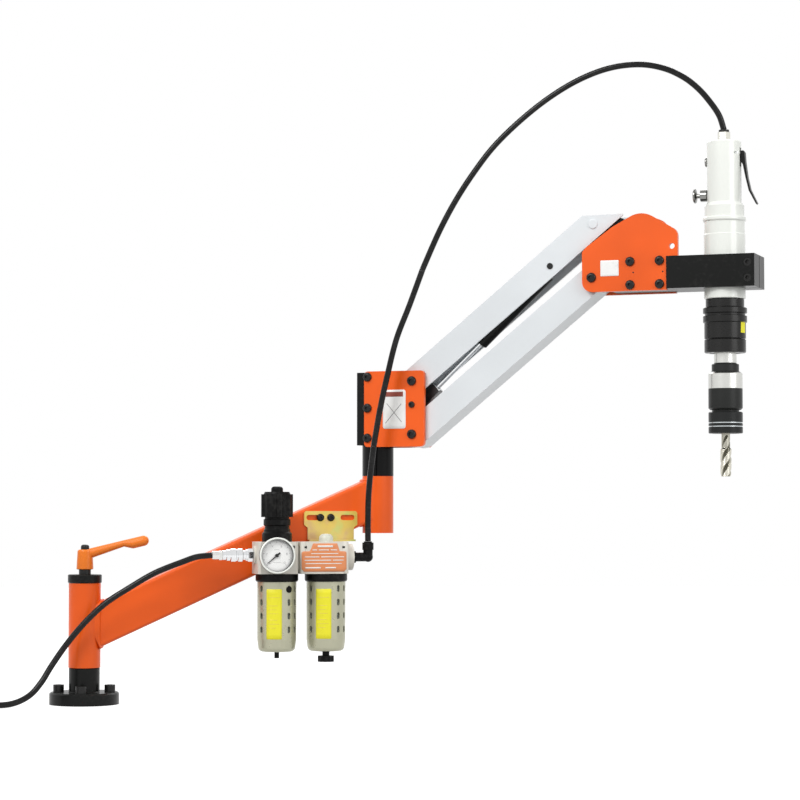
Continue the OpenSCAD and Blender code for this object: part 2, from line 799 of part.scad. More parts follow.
module coupler_sleeve() {
    l = coupler_len - 20;
    color(chrome) on_arm() translate([coupler_u, -unit_v, port_z]) rotate([0, -90, 0])
        translate([0, 0, 18]) rotate_extrude() polygon([[8 + fit, 0], [coupler_d / 2 - 1, 0],
            [coupler_d / 2, 1], [coupler_d / 2, 8], [coupler_d / 2 - 1, 9],
            [coupler_d / 2 - 1, 11], [coupler_d / 2, 12], [coupler_d / 2, 20],
            [coupler_d / 2 - 1.5, 21.5], [coupler_d / 2 - 1.5, l - 5],
            [coupler_d / 2 - 2.5, l - 4], [8 + fit, l - 4]]);
}

module supply_fitting() {
    color(steel) on_arm() translate([coupler_u, -unit_v, port_z]) rotate([0, -90, 0])
        union() {
            translate([0, 0, coupler_len - 21]) cylinder(d = 10, h = 22);
            translate([0, 0, coupler_len + play]) cylinder(d = 16, h = 5, $fn = 6);
            translate([0, 0, coupler_len + 5]) cylinder(d = 14, h = 12);
        }
}

elbow_u = lub_right + 40;
module outlet_elbow() {
    color(black) on_arm() translate([0, -unit_v, 0]) union() {
        along_x(lub_right - 5, lub_right + 14, 16, out_z);
        along_x(lub_right + 13, elbow_u, 15, out_z);
        along_x(lub_right + 14, lub_right + 18, 20, out_z);
        translate([elbow_u, 0, out_z]) sphere(d = 16.8);
        translate([elbow_u, 0, out_z]) cylinder(d = 16, h = 14);
        translate([elbow_u, 0, out_z + 12]) cylinder(d = 19, h = 12);
        translate([elbow_u, 0, out_z + 23]) cylinder(d = 14, h = 3);
    }
}

module swivel_post() {
    color(black) translate([elbow[0], elbow[1], 0]) union() {
        translate([0, 0, outer_z + 2]) cylinder(d = post_d, h = swivel_z - outer_z);
        translate([0, 0, swivel_z]) cylinder(d = swivel_d, h = swivel_h);
        translate([0, 0, block_z - over]) cylinder(d = 30, h = 21);
    }
}

// bolts on the plates' left edge and the depth of their holes
block_rows = [12, 63, 116];
screw_d = 8;
screw_depth = 14;
screw_x = -5;
screw_head_h = 5;
module pivot_block() {
    color(black) on_head() difference() {
        translate([0, 0, block_z]) linear_extrude(block_h)
            polygon(box_outline(block_len, block_w, 1.5, 3));
        translate([0, 0, block_z - over]) cylinder(d = 30 + 2 * fit, h = 21 + over);
        for (z = block_rows, s = [-1, 1])
            cross([screw_x, block_z + z], screw_d + 2 * fit, screw_depth + over,
                s * (block_w / 2 - screw_depth / 2 + over / 2));
    }
}

module block_plate(y, corner_cut) {
    w = plate_left + plate_right;
    foot = block_z - plate_drop;
    difference() {
        side_slab(plate_t, y) translate([plate_right - w / 2, foot + plate_h / 2])
            polygon(box_outline(w, plate_h, plate_corner));
        for (z = block_rows)
            cross([screw_x, block_z + z], screw_d + 2 * fit, 3 * plate_t, y);
        for (p = [p1, u1])
            cross(p, pin_d + 2 * fit, 3 * plate_t, y);
        cross(g1, strut_pin_d + 2 * fit, 3 * plate_t, y);
        side_slab(3 * plate_t, y) polygon([[plate_right - corner_cut, foot - over],
            [plate_right + over, foot - over], [plate_right + over, foot + corner_cut]]);
    }
}

module block_plates() {
    color(orange) on_head() {
        block_plate(-plate_y, 1);
        block_plate(plate_y, 16);
    }
}

// pin across both plates, with a round head in front and a nut behind
module head_pin(p, d, head) {
    half = block_w / 2 + plate_t;
    cross(p, d, 2 * half + 2 * over);
    translate([p[0], -half - play / 3, p[1]]) rotate([90, 0, 0])
        button_screw(d, head, screw_head_h, 1);
    translate([p[0], half + play / 3, p[1]]) rotate([-90, 0, 0]) cylinder(d = head, h = 5, $fn = 6);
}

module plate_screws(points, s) {
    for (p = points)
        translate([p[0], s * (block_w / 2 + plate_t + play / 3), p[1]]) rotate([s * -90, 0, 0])
            button_screw(screw_d, 15.5, screw_head_h, plate_t + screw_depth - 2);
}

module block_bolts() {
    points = [for (z = block_rows) [screw_x, block_z + z]];
    color(black) on_head() {
        plate_screws(points, -1);
        plate_screws(points, 1);
        head_pin(p1, pin_d, 16);
        head_pin(u1, pin_d, 16);
        head_pin(g1, strut_pin_d, 11);
    }
}

// places a link: its pin at the block on the origin, its length along X
module on_link(p) {
    on_head() translate([p[0], 0, p[1]]) rotate([0, -link_rest, 0]) children();
}

module link_boss(x) {
    cross([x, 0], link_h * 0.45, link_w - link_wall);
}

module lower_link() {
    r = link_h / 2;
    color(grey_white) on_link(p1) difference() {
        union() {
            difference() {
                side_slab(link_w) polygon(concat(arc([0, 0], r, 90, 270, 16),
                    arc([link_len, 0], r, -90, 90, 16)));
                translate([-link_h, link_wall - link_w / 2, link_wall - r])
                    cube([link_len + 2 * link_h, link_w - 2 * link_wall, link_h - 2 * link_wall]);
            }
            link_boss(0);
            link_boss(link_len);
        }
        cross([0, 0], pin_d + 2 * fit, link_w + 2 * over);
        cross([link_len, 0], pin_d + 2 * fit, link_w + 2 * over);
    }
}

// upper link: a channel open below, cut level at its head end
upper_cut = 14;
module upper_link() {
    r = link_h / 2;
    cut_s = (upper_cut + r * cos(link_rest)) / sin(link_rest);
    cut_t = (upper_cut - r * cos(link_rest)) / sin(link_rest);
    color(grey_white) on_link(u1) difference() {
        union() {
            difference() {
                side_slab(link_w) polygon(concat(arc([0, 0], r, 90, 270, 16),
                    [[link_len + cut_s - 3, -r], [link_len + cut_s - 1, -r + 2],
                    [link_len + cut_t, r]]));
                translate([-link_h, link_wall - link_w / 2, -link_h])
                    cube([link_len + 3 * link_h, link_w - 2 * link_wall, link_h + r - link_wall]);
            }
            link_boss(0);
        }
        cross([0, 0], pin_d + 2 * fit, link_w + 2 * over);
        cross([link_len, 0], pin_d + 2 * fit, link_w + 2 * over);
        cross([strut_s, -strut_t], strut_pin_d + 2 * fit, link_w + 2 * over);
    }
}

module strut_pin() {
    color(black) on_link(u1) union() {
        cross([strut_s, -strut_t], strut_pin_d, link_w + 1);
        for (s = [-1, 1])
            cross([strut_s, -strut_t], strut_pin_d + 2.5, 1, s * (link_w / 2 + 0.6));
    }
}

// places the strut: its foot pin on the origin, its length along X
module on_strut() {
    on_head() translate([g1[0], 0, g1[1]]) rotate([0, -strut_angle, 0]) children();
}

module gas_rod() {
    color(steel) on_strut() difference() {
        union() {
            along_x(fork_len - 4, strut_len - 71, rod_d);
            side_slab(fork_w) polygon(concat(arc([0, 0], 8, 90, 270, 10),
                [[20, -fork_w / 2], [fork_len - 2, -fork_w / 2], [fork_len, 2 - fork_w / 2],
                [fork_len, fork_w / 2 - 2], [fork_len - 2, fork_w / 2], [20, fork_w / 2]]));
        }
        cross([0, 0], strut_pin_d + 2 * fit, fork_w + 2 * over);
    }
}

module gas_cylinder() {
    foot = strut_len - cylinder_len;
    bore = rod_d + 2 * rod_play;
    color(black) on_strut() difference() {
        union() {
            translate([foot, 0, 0]) rotate([0, 90, 0]) rotate_extrude() polygon([
                [0, 0], [cylinder_d / 2 - 1.5, 0], [cylinder_d / 2, 1.5],
                [cylinder_d / 2, cylinder_len - 18], [cylinder_d / 2 - 2, cylinder_len - 16],
                [0, cylinder_len - 16]]);
            side_slab(12) polygon(concat([[strut_len - 18, -8], [strut_len, -8]],
                arc([strut_len, 0], 8, -80, 80, 10), [[strut_len, 8], [strut_len - 18, 8]]));
        }
        along_x(foot - over, strut_len - 26, bore);
        cross([strut_len, 0], strut_pin_d + 2 * fit, 20);
    }
}

// outline of a head plate, from the lower head pin: foot and left edge, then the ridge
ear_z = holder_lift + holder_h - head_foot + flank;
head_corner = 17;
foot_outline = arc([head_corner - head_left, head_corner - head_foot], head_corner, 180, 270, 8);
ridge_outline = concat(arc([ridge_x, ridge_z - ridge_r], ridge_r, 61, 118, 8),
    [[ridge_x - 49, ridge_z - 21], [6 - head_left, brow_z + 7.5], [-head_left, brow_z]]);
front_outline = concat(foot_outline,
    [[holder_x, -head_foot], [holder_x, ear_z], [head_right, ear_z]],
    arc([head_right - shoulder_r, shoulder_z], shoulder_r, 0, 60, 6), ridge_outline);
// the rear plate has no ear above the holder
rear_outline = concat(foot_outline,
    [[holder_x, -head_foot], [holder_x, ear_z - flank], [lug_right + 4, ear_z + 8]],
    arc([lug_right - 8, lug_top + 1], 12, 0, 60, 5), ridge_outline);
screw_left = holder_x - 61;
screw_right = holder_x - 11.5;
screw_low = holder_lift - head_foot + 8;
screw_high = ear_z - 7;
head_screws = [for (x = [screw_left, screw_right], z = [screw_high, screw_low]) [x, z]];

module head_plate(y, outline) {
    difference() {
        side_slab(plate_t, y) translate(p2) polygon(outline);
        cross(p2, pin_d + 2 * fit, 3 * plate_t, y);
        for (p = head_screws)
            cross(p2 + p, screw_d + 2 * fit, 3 * plate_t, y);
        cross(p2 + [head_right - 9.7, ear_z + 16], 9.5, 3 * plate_t, y);
    }
}

module head_plates() {
    color(orange) on_head() {
        head_plate(-plate_y, front_outline);
        head_plate(plate_y, rear_outline);
    }
}

// black lug between the plates that carries the upper head pin inside the channel
tail_x = 28;
tail_top = holder_top - p2[1];
lug_cut = 12;
module head_lug() {
    inner = link_w - 2 * link_wall - 2 * flank;
    color(black) on_head() difference() {
        union() {
            side_slab(block_w) translate(p2) polygon([[lug_left, tail_top], [lug_right, tail_top],
                [lug_right, lug_top - lug_cut], [lug_right - lug_cut, lug_top],
                [lug_left + lug_cut, lug_top], [lug_left, lug_top - lug_cut]]);
            side_slab(inner) translate(p2) polygon(concat(
                arc([0, pin_spacing], lug_r, 97, 262, 12),
                [[1.5 * lug_r, pin_spacing - lug_r - 1], [lug_left - 18, tail_top],
                [lug_left + 8, tail_top], [lug_left + 8, lug_top + 2],
                [lug_left - 16, pin_spacing + 9]]));
        }
        cross(u2, pin_d + 2 * fit, inner + 2 * over);
    }
}

module head_bolts() {
    points = [for (p = head_screws) p2 + p];
    color(black) on_head() {
        plate_screws(points, -1);
        plate_screws(points, 1);
        head_pin(p2, pin_d, 16);
        cross(u2, pin_d, link_w - 1);
    }
}

holder_bolt_z = [0.26, 0.74];
module motor_holder() {
    x1 = p2[0] + holder_x;
    xe = tool + holder_end;
    bolt_x = tool + motor_d / 4 + holder_end / 2;
    color(black) on_head() difference() {
        union() {
            translate([x1, -holder_w / 2, holder_z]) cube([xe - x1, holder_w, holder_h]);
            translate([p2[0] + tail_x, -block_w / 2, holder_z])
                cube([holder_x - tail_x + over, block_w, holder_h]);
        }
        translate([tool, 0, holder_z - over]) cylinder(d = motor_d + 2 * fit, h = holder_h + 2 * over);
        translate([tool, -slot_w / 2, holder_z - over])
            cube([holder_end + over, slot_w, holder_h + 2 * over]);
        for (p = head_screws, s = [-1, 1])
            cross(p2 + p, screw_d + 2 * fit, screw_depth + over,
                s * (block_w / 2 - screw_depth / 2 + over / 2));
        for (k = holder_bolt_z) {
            cross([bolt_x, holder_z + k * holder_h], screw_d + 2 * fit, holder_w + 2 * over);
            cross([bolt_x, holder_z + k * holder_h], 13.6, 18, -holder_w / 2);
        }
    }
}

module holder_bolts() {
    bolt_x = tool + motor_d / 4 + holder_end / 2;
    color(black) on_head() for (k = holder_bolt_z)
        translate([bolt_x, -holder_w / 2 + 9, holder_z + k * holder_h]) rotate([90, 0, 0])
            socket_bolt(screw_d, 13, 8, holder_w - 14);
}

module on_tool() {
    on_head() translate([tool, 0, 0]) children();
}

module motor_body() {
    r = motor_d / 2;
    color(grey_white) on_tool() difference() {
        rotate_extrude() polygon([[0, nose_z], [r - 1, nose_z], [r, nose_z + 1],
            [r, holder_top + 35], [r - 0.8, holder_top + 36], [r - 0.8, body_top - 8],
            [lip_d / 2 - 1, body_top - 7], [lip_d / 2, body_top - 5.5], [lip_d / 2, body_top - 2],
            [lip_d / 2 - 1.5, body_top], [0, body_top]]);
        translate([0, 0, nose_z - over]) cylinder(d = 24 + 2 * fit, h = 26);
        translate([0, 0, body_top - 10]) cylinder(d = 50 + 2 * fit, h = 11);
    }
}

// motor head: the valve housing with the lever's ears and the button's boss
lever_pin = [22, head_top - 21];
button_z = body_top + 37;
module motor_head() {
    r = head_d / 2;
    color(grey_white) on_tool() difference() {
        union() {
            rotate_extrude() polygon([[0, body_top - 9.8], [25, body_top - 9.8], [25, body_top + play],
                [motor_d / 2 - 1.5, body_top + play], [motor_d / 2 - 1.5, body_top + 18],
                [motor_d / 2 - 5, body_top + 23], [r, body_top + 24],
                [r, head_top - 2], [r - 2, head_top], [0, head_top]]);
            for (s = [-1, 1])
                cross(lever_pin, 12, 5, s * 9);
        }
        translate([lever_pin[0] - 9, -6.4, lever_pin[1] - 22]) cube([40, 12.8, 31]);
        cross(lever_pin, 4 + 2 * fit, 60);
        along_x(-r - over, -10, 12 + 2 * fit, button_z);
        translate([0, 0, head_top - 12]) cylinder(d = 14 + 2 * fit, h = 13);
    }
}

module inlet_nut() {
    color(chrome) on_tool() translate([0, 0, head_top]) difference() {
        union() {
            translate([0, 0, -11.8]) cylinder(d = 14, h = 12.9);
            translate([0, 0, play / 3]) cylinder(d = nut_d, h = nut_h - 4, $fn = 6);
            translate([0, 0, nut_h - 4]) cylinder(d = hose_d + 7, h = 4);
        }
        translate([0, 0, -13]) cylinder(d = 6, h = nut_h);
    }
}

module throttle_lever() {
    p = lever_pin;
    color(black) on_tool() difference() {
        side_slab(12) translate(p) polygon([[-4, 3], [11, 4], [13, 1], [14, -14],
            [17.5, -40], [22, -60], [33, -83], [31.5, -85], [19.5, -62],
            [14.5, -41], [10, -19], [4, -10], [-4, -5]]);
        cross(p, 4 + 2 * fit, 20);
    }
}

// chrome guide of the reverse button, screwed into the motor head's left side
module reverse_guide() {
    r = head_d / 2;
    color(chrome) on_tool() translate([0, 0, button_z]) rotate([0, -90, 0]) difference() {
        union() {
            translate([0, 0, 11]) cylinder(d = 12, h = r - 10);
            translate([0, 0, r + 0.2]) cylinder(d = 20, h = 10.5);
        }
        translate([0, 0, 10]) cylinder(d = 8 + 2 * fit, h = r + 12);
    }
}

module reverse_button() {
    r = head_d / 2;
    color(steel) on_tool() translate([0, 0, button_z]) rotate([0, -90, 0]) union() {
        translate([0, 0, 18]) cylinder(d = 8, h = r);
        translate([0, 0, r + 17.5]) rotate_extrude() polygon([[0, 0], [5, 0], [11, 1.5],
            [12, 2.5], [12, 4], [11, 5], [0, 5]]);
    }
}

module chuck_body() {
    r = chuck_d / 2;
    t = chuck_top;
    z = chuck_z + sleeve_h;
    color(black) on_tool() difference() {
        union() {
            rotate_extrude() polygon([[0, z + 1.5], [r, z + 1.5], [r, t - 39],
                [rib_d / 2, t - 38], [rib_d / 2, t - 28], [r - 1, t - 27], [r - 1, t - 24],
                [rib_d / 2, t - 23], [rib_d / 2, t - 15], [r - 2.5, t - 13], [r - 2.5, t - 1],
                [r - 3.5, t], [0, t]]);
            translate([0, 0, chuck_z + 0.5]) cylinder(d = 50, h = sleeve_h + 2);
            translate([0, 0, t - over]) cylinder(d = 24, h = 24);
        }
        translate([0, 0, chuck_z - over]) cylinder(d = shank_d + 2 * fit, h = 37);
    }
}

module chuck_sleeve() {
    r = chuck_d / 2;
    color(black) on_tool() rotate_extrude() polygon([[25 + fit, chuck_z], [r - 1.5, chuck_z],
        [r, chuck_z + 1.5], [r, chuck_z + sleeve_h - 1], [r - 1, chuck_z + sleeve_h],
        [25 + fit, chuck_z + sleeve_h]]);
}

module tap_adapter() {
    a = adapter_d / 2;
    t = adapter_top;
    color(black) on_tool() difference() {
        rotate_extrude() polygon([[0, adapter_z + 0.5], [22, adapter_z + 0.5],
            [22, adapter_z + 38], [a - 3, adapter_z + 38], [a, adapter_z + 41],
            [a, t - 16], [a - 1.5, t - 14.5], [22.2, t - 12], [22.2, t - 1], [21.2, t],
            [shank_d / 2, t], [shank_d / 2, t + 50], [shank_d / 2 - 2, t + 52], [0, t + 52]]);
        translate([0, 0, adapter_z - over]) cylinder(d = tap_shank_d + 2 * fit, h = 34);
    }
}

module adapter_ring() {
    a = adapter_d / 2;
    z = adapter_z;
    color(black) on_tool() rotate_extrude() polygon([[22 + fit, z], [a - 1, z], [a, z + 1],
        [a, z + 10], [a - 0.8, z + 10.5], [a - 0.8, z + 12], [a, z + 12.5], [a, z + 16],
        [a - 0.8, z + 16.5], [a - 0.8, z + 18], [a, z + 18.5], [a, z + 33.5], [a - 1.5, z + 35],
        [22 + fit, z + 35]]);
}

// spiral fluted tap: a lobed section turned as it runs, on a plain shank
module tap() {
    cut = 60;
    n = 9;
    r = tap_d / 2;
    color(steel) on_tool() union() {
        translate([0, 0, adapter_z - tap_len + cut]) cylinder(d = tap_shank_d, h = tap_len - cut + 30);
        translate([0, 0, adapter_z - tap_len + 6]) linear_extrude(cut - 4, twist = -200, slices = 20)
            polygon([for (i = [0 : flutes * n - 1]) let (a = i * 360 / (flutes * n),
                w = (i % n) / n, k = w < 0.45 ? r : r - 4.2 * sin((w - 0.45) / 0.55 * 180))
                k * [cos(a), sin(a)]]);
        translate([0, 0, adapter_z - tap_len]) linear_extrude(7, scale = 1.18, twist = -24, slices = 3)
            polygon([for (i = [0 : flutes * n - 1]) let (a = i * 360 / (flutes * n) - 24,
                w = (i % n) / n, k = w < 0.45 ? r : r - 4.2 * sin((w - 0.45) / 0.55 * 180))
                k / 1.18 * [cos(a), sin(a)]]);
    }
}

// tube along a route: a ring of points round each route point
function unit(v) = v / norm(v);
function heading(p, i) = unit(p[min(i + 1, len(p) - 1)] - p[max(i - 1, 0)]);
function ring_at(p, i, d, ends, sides) =
    let (t = i == 0 ? ends[0] : i == len(p) - 1 ? ends[1] : heading(p, i),
        a = unit(cross_of(t, [0.31, 0.95, 0.05])), b = cross_of(t, a))
    [for (k = [0 : sides - 1]) p[i] + d / 2 * (cos(k * 360 / sides) * a + sin(k * 360 / sides) * b)];
function cross_of(a, b) = [a[1] * b[2] - a[2] * b[1], a[2] * b[0] - a[0] * b[2], a[0] * b[1] - a[1] * b[0]];

module tube_along(p, d, ends, sides = 10) {
    n = len(p);
    pts = [for (i = [0 : n - 1]) each ring_at(p, i, d, ends, sides)];
    walls = [for (i = [0 : n - 2], k = [0 : sides - 1]) let (a = i * sides + k,
        b = i * sides + (k + 1) % sides) each [[a, b, b + sides], [a, b + sides, a + sides]]];
    polyhedron(points = pts, faces = concat(walls, [[for (k = [sides - 1 : -1 : 0]) k]],
        [[for (k = [0 : sides - 1]) (n - 1) * sides + k]]), convexity = 10);
}

// a smooth run through hand-chosen points, two steps to a stretch
function smooth(p, m = 2) = concat([for (i = [0 : len(p) - 2], k = [0 : m - 1])
    let (t = k / m, a = p[max(i - 1, 0)], b = p[i], c = p[i + 1], e = p[min(i + 2, len(p) - 1)])
    0.5 * ((2 * b) + (c - a) * t + (2 * a - 5 * b + 4 * c - e) * t * t
        + (3 * b - a - 3 * c + e) * t * t * t)], [p[len(p) - 1]]);

// route of the tool hose, from the elbow up to the motor
lower_route = [[469.1, 46.9, 268.3], [469.1, 46.9, 303], [469.8, 46.9, 339], [473, 47, 380],
    [479, 47, 430]];
middle_route = [[479, 47, 430], [489, 45, 488], [501, 42, 544], [517, 38, 608], [539, 33, 665],
    [561, 28, 725]];
upper_route = [[561, 28, 725], [589, 20, 788], [617, 12, 840], [648, 4, 887], [681, -4, 929],
    [724, -14, 970], [771, -26, 1006], [820, -38, 1034], [869, -50, 1051], [917, -62, 1055],
    [957, -71, 1047], [989, -77, 1031], [1013, -81, 1011], [1032, -84, 988], [1046, -85.4, 966],
    [1053.4, -85.8, 942.7]];
mid_heading = unit(middle_route[1] - lower_route[3]);
high_heading = unit(upper_route[1] - middle_route[4]);

// neighbouring lengths of hose stop just short of each other
seam = 0.05;
function cut_start(p, t) = [for (i = [0 : len(p) - 1]) i == 0 ? p[0] + seam * t : p[i]];

module tool_hose_lower() {
    color(black) tube_along(smooth(lower_route), hose_d, [[0, 0, 1], mid_heading]);
}

module tool_hose_middle() {
    color(black) tube_along(cut_start(smooth(middle_route), mid_heading), hose_d,
        [mid_heading, high_heading]);
}

module tool_hose_upper() {
    color(black) tube_along(cut_start(smooth(upper_route), high_heading), hose_d,
        [high_heading, [0, 0, -1]]);
}

// route of the supply hose, from the coupler down to the bench and off to the left
supply_route = [[211.7, -17.3, 246], [188, -22, 243.5], [166, -26, 236], [120, -33, 217.5],
    [79, -39, 193.5], [40, -43, 168], [6, -46, 136], [-23, -50, 101], [-46, -56, 67],
    [-62, -63, 40], [-80, -73, 19], [-106, -86, 7], [-140, -95, 5], [-178, -98, 5], [-215, -98, 5]];

module supply_hose() {
    color(black) tube_along(smooth(supply_route), hose_d,
        [[-cos(arm_yaw), -sin(arm_yaw), 0], [-1, 0, 0]]);
}

// the stored hose: it spirals in, climbs a layer where the spiral turns, spirals out on
// top and comes down outside the pile to its plug
coil_gap = 0.6;
coil_pitch = hose_d + coil_gap;
coil_in = coil_r - coil_turns * coil_pitch / 2;
coil_out = coil_r + coil_turns * coil_pitch / 2;
coil_sweep = coil_turns * 360;
tail_sweep = 105;
plug_z = 8;
plug_out = 5;
tail_roll = acos((plug_z - hose_d / 2) / coil_pitch);
coil_end = supply_route[len(supply_route) - 1];
coil_centre = coil_end - [0, coil_out, 0];
coil_step = 15;

function coil_radius(a) = a <= 2 * coil_sweep
    ? coil_in + coil_pitch * abs(a - coil_sweep) / 360
    : coil_out - coil_pitch * (a - 2 * coil_sweep) / 360
        + coil_pitch * sin(tail_roll * (a - 2 * coil_sweep) / tail_sweep)
        + plug_out * (a - 2 * coil_sweep) / tail_sweep;
function coil_rise(a) = a <= 2 * coil_sweep
    ? coil_pitch * max(0, min(1, (a - coil_sweep + 90) / 180))
    : coil_pitch * cos(tail_roll * (a - 2 * coil_sweep) / tail_sweep);
function coil_point(a) = [coil_centre[0] + coil_radius(a) * cos(90 + a),
    coil_centre[1] + coil_radius(a) * sin(90 + a), coil_end[2] + coil_rise(a)];
coil_points = [for (a = [0 : coil_step : 2 * coil_sweep + tail_sweep]) coil_point(a)];

// least distance between turns, on points at least half a turn apart, less the tube
coil_clear = min([for (i = [0 : len(coil_points) - 1], j = [i + 12 : len(coil_points) - 1])
    if (j < len(coil_points)) norm(coil_points[j] - coil_points[i])]) - hose_d;
echo(coil_clear = coil_clear);

module supply_coil() {
    color(black) tube_along(coil_points, hose_d, [[-1, 0, 0], plug_heading], 6);
}

plug_turn = 90 + tail_sweep;
plug_heading = [-sin(plug_turn), cos(plug_turn), 0];
module supply_plug() {
    tip = coil_points[len(coil_points) - 1];
    color(steel) translate([tip[0], tip[1], plug_z]) rotate([0, 0, plug_turn + 90])
        rotate([0, 90, 0]) union() {
            translate([0, 0, play]) cylinder(d = 14, h = 14);
            translate([0, 0, 14]) rotate([0, 0, 30]) cylinder(r = plug_z / cos(30), h = 6, $fn = 6);
            translate([0, 0, 19]) cylinder(d = 9.8, h = 11);
            translate([0, 0, 29]) cylinder(d = 7.6, h = 5);
            translate([0, 0, 33]) cylinder(d = 9.8, h = 10);
        }
}

base_flange();
flange_bolts();
base_post();
cap_ring();
clamp_stud();
clamp_lever();
lever_screw();
lower_arm();
arm_bushes();
frl_bracket();
bracket_bolts();
regulator_body();
regulator_bonnet();
regulator_knob();
gauge_case();
gauge_needle();
gauge_lens();
lubricator_body();
sight_dome();
bowl_rings();
filter_guard();
lubricator_guard();
bowl_liners();
filter_drain();
lubricator_drain();
inlet_coupler();
coupler_sleeve();
supply_fitting();
outlet_elbow();
swivel_post();
pivot_block();
block_plates();
block_bolts();
lower_link();
upper_link();
strut_pin();
gas_rod();
gas_cylinder();
head_plates();
head_lug();
head_bolts();
motor_holder();
holder_bolts();
motor_body();
motor_head();
inlet_nut();
throttle_lever();
reverse_guide();
reverse_button();
chuck_body();
chuck_sleeve();
tap_adapter();
adapter_ring();
tap();
tool_hose_lower();
tool_hose_middle();
tool_hose_upper();
supply_hose();
supply_coil();
supply_plug();
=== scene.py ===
import json
import math

import bpy
import numpy as np
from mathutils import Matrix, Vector


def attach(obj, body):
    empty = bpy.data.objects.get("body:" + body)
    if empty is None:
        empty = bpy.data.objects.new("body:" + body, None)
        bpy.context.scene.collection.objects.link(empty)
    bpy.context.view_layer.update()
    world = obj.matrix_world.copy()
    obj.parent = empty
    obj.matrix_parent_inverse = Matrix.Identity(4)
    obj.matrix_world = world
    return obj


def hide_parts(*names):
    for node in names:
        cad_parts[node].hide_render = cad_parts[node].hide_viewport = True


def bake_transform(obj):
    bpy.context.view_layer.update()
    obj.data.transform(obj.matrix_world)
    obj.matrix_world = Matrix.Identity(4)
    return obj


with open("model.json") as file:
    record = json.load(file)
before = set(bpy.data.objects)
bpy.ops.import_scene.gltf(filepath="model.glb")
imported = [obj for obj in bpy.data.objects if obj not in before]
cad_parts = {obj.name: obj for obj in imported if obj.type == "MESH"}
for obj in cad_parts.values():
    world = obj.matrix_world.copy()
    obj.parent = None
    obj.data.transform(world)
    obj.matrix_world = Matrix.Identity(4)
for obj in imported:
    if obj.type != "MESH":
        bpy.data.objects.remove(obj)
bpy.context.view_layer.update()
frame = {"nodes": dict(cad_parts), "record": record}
MM = 0.001


# Camera and light

def place(data, name, location, rotation=(0, 0, 0)):
    """Puts a camera or lamp at a point in metres, turned by Euler angles in degrees."""
    obj = bpy.data.objects.new(name, data)
    obj.location = location
    obj.rotation_euler = [math.radians(a) for a in rotation]
    bpy.context.scene.collection.objects.link(obj)
    return obj


FOCAL_PX = 2428.05
PICTURE_PX = 800
SENSOR_MM = 36.0
CAMERA_AT = (0.52294, -4.03842, 0.32142)
LOOKING_UP = 2.58440

camera_data = bpy.data.cameras.new("camera")
camera_data.sensor_width = SENSOR_MM
camera_data.lens = FOCAL_PX / PICTURE_PX * SENSOR_MM
camera_data.clip_start = 0.05
camera_data.clip_end = 60
bpy.context.scene.camera = place(camera_data, "camera", CAMERA_AT, (90 + LOOKING_UP, 0, 0))


def soft_lamp(name, location, target, size, power):
    """A rectangular area lamp that faces a target point: places and sizes in metres, power in
    watts."""
    data = bpy.data.lights.new(name, "AREA")
    data.shape = "RECTANGLE"
    data.size, data.size_y = size
    data.energy = power
    lamp = place(data, name, location)
    lamp.rotation_euler = (Vector(target) - Vector(location)).to_track_quat("-Z", "Y").to_euler()


soft_lamp("key_lamp", (-1.3, -2.3, 2.6), (0.5, 0, 0.5), (1.6, 1.6), 70)
soft_lamp("fill_lamp", (2.9, -1.9, 1.5), (0.6, 0, 0.5), (1.6, 1.6), 28)
soft_lamp("back_lamp", (0.7, 2.4, 2.4), (0.5, 0, 0.5), (1.8, 1.2), 30)

bpy.context.scene.view_settings.view_transform = "Standard"


def seen_white(tree, lit, white):
    """Mixes the lit shader to the white one where the largest of Light Path's camera, glossy and
    transmission rays is 1, so the backdrop is white in the picture, in metal and in glass."""
    path = tree.nodes.new("ShaderNodeLightPath")
    seen = path.outputs["Is Camera Ray"]
    for ray in ("Is Glossy Ray", "Is Transmission Ray"):
        larger = tree.nodes.new("ShaderNodeMath")
        larger.operation = "MAXIMUM"
        tree.links.new(seen, larger.inputs[0])
        tree.links.new(path.outputs[ray], larger.inputs[1])
        seen = larger.outputs[0]
    mix = tree.nodes.new("ShaderNodeMixShader")
    for socket, wire in zip(mix.inputs, (seen, lit, white)):
        tree.links.new(wire, socket)
    return mix.outputs[0]


SKY_LOW, SKY_HIGH = -0.2, 0.9
SKY_DIM, SKY_BRIGHT = 0.14, 1.15

world = bpy.data.worlds.new("world")
bpy.context.scene.world = world
world.use_nodes = True
sky = world.node_tree.nodes["Background"]
sky.inputs["Color"].default_value = (1, 1, 1, 1)
where = world.node_tree.nodes.new("ShaderNodeTexCoord")
height = world.node_tree.nodes.new("ShaderNodeSeparateXYZ")
grade = world.node_tree.nodes.new("ShaderNodeMapRange")
grade.interpolation_type = "SMOOTHSTEP"
for socket, value in (("From Min", SKY_LOW), ("From Max", SKY_HIGH), ("To Min", SKY_DIM),
                      ("To Max", SKY_BRIGHT)):
    grade.inputs[socket].default_value = value
world.node_tree.links.new(where.outputs["Generated"], height.inputs[0])
world.node_tree.links.new(height.outputs["Z"], grade.inputs["Value"])
world.node_tree.links.new(grade.outputs[0], sky.inputs["Strength"])
backdrop = world.node_tree.nodes.new("ShaderNodeBackground")
backdrop.inputs["Color"].default_value = (1, 1, 1, 1)
world.node_tree.links.new(seen_white(world.node_tree, sky.outputs[0], backdrop.outputs[0]),
                          world.node_tree.nodes["World Output"].inputs["Surface"])


# Shader maths

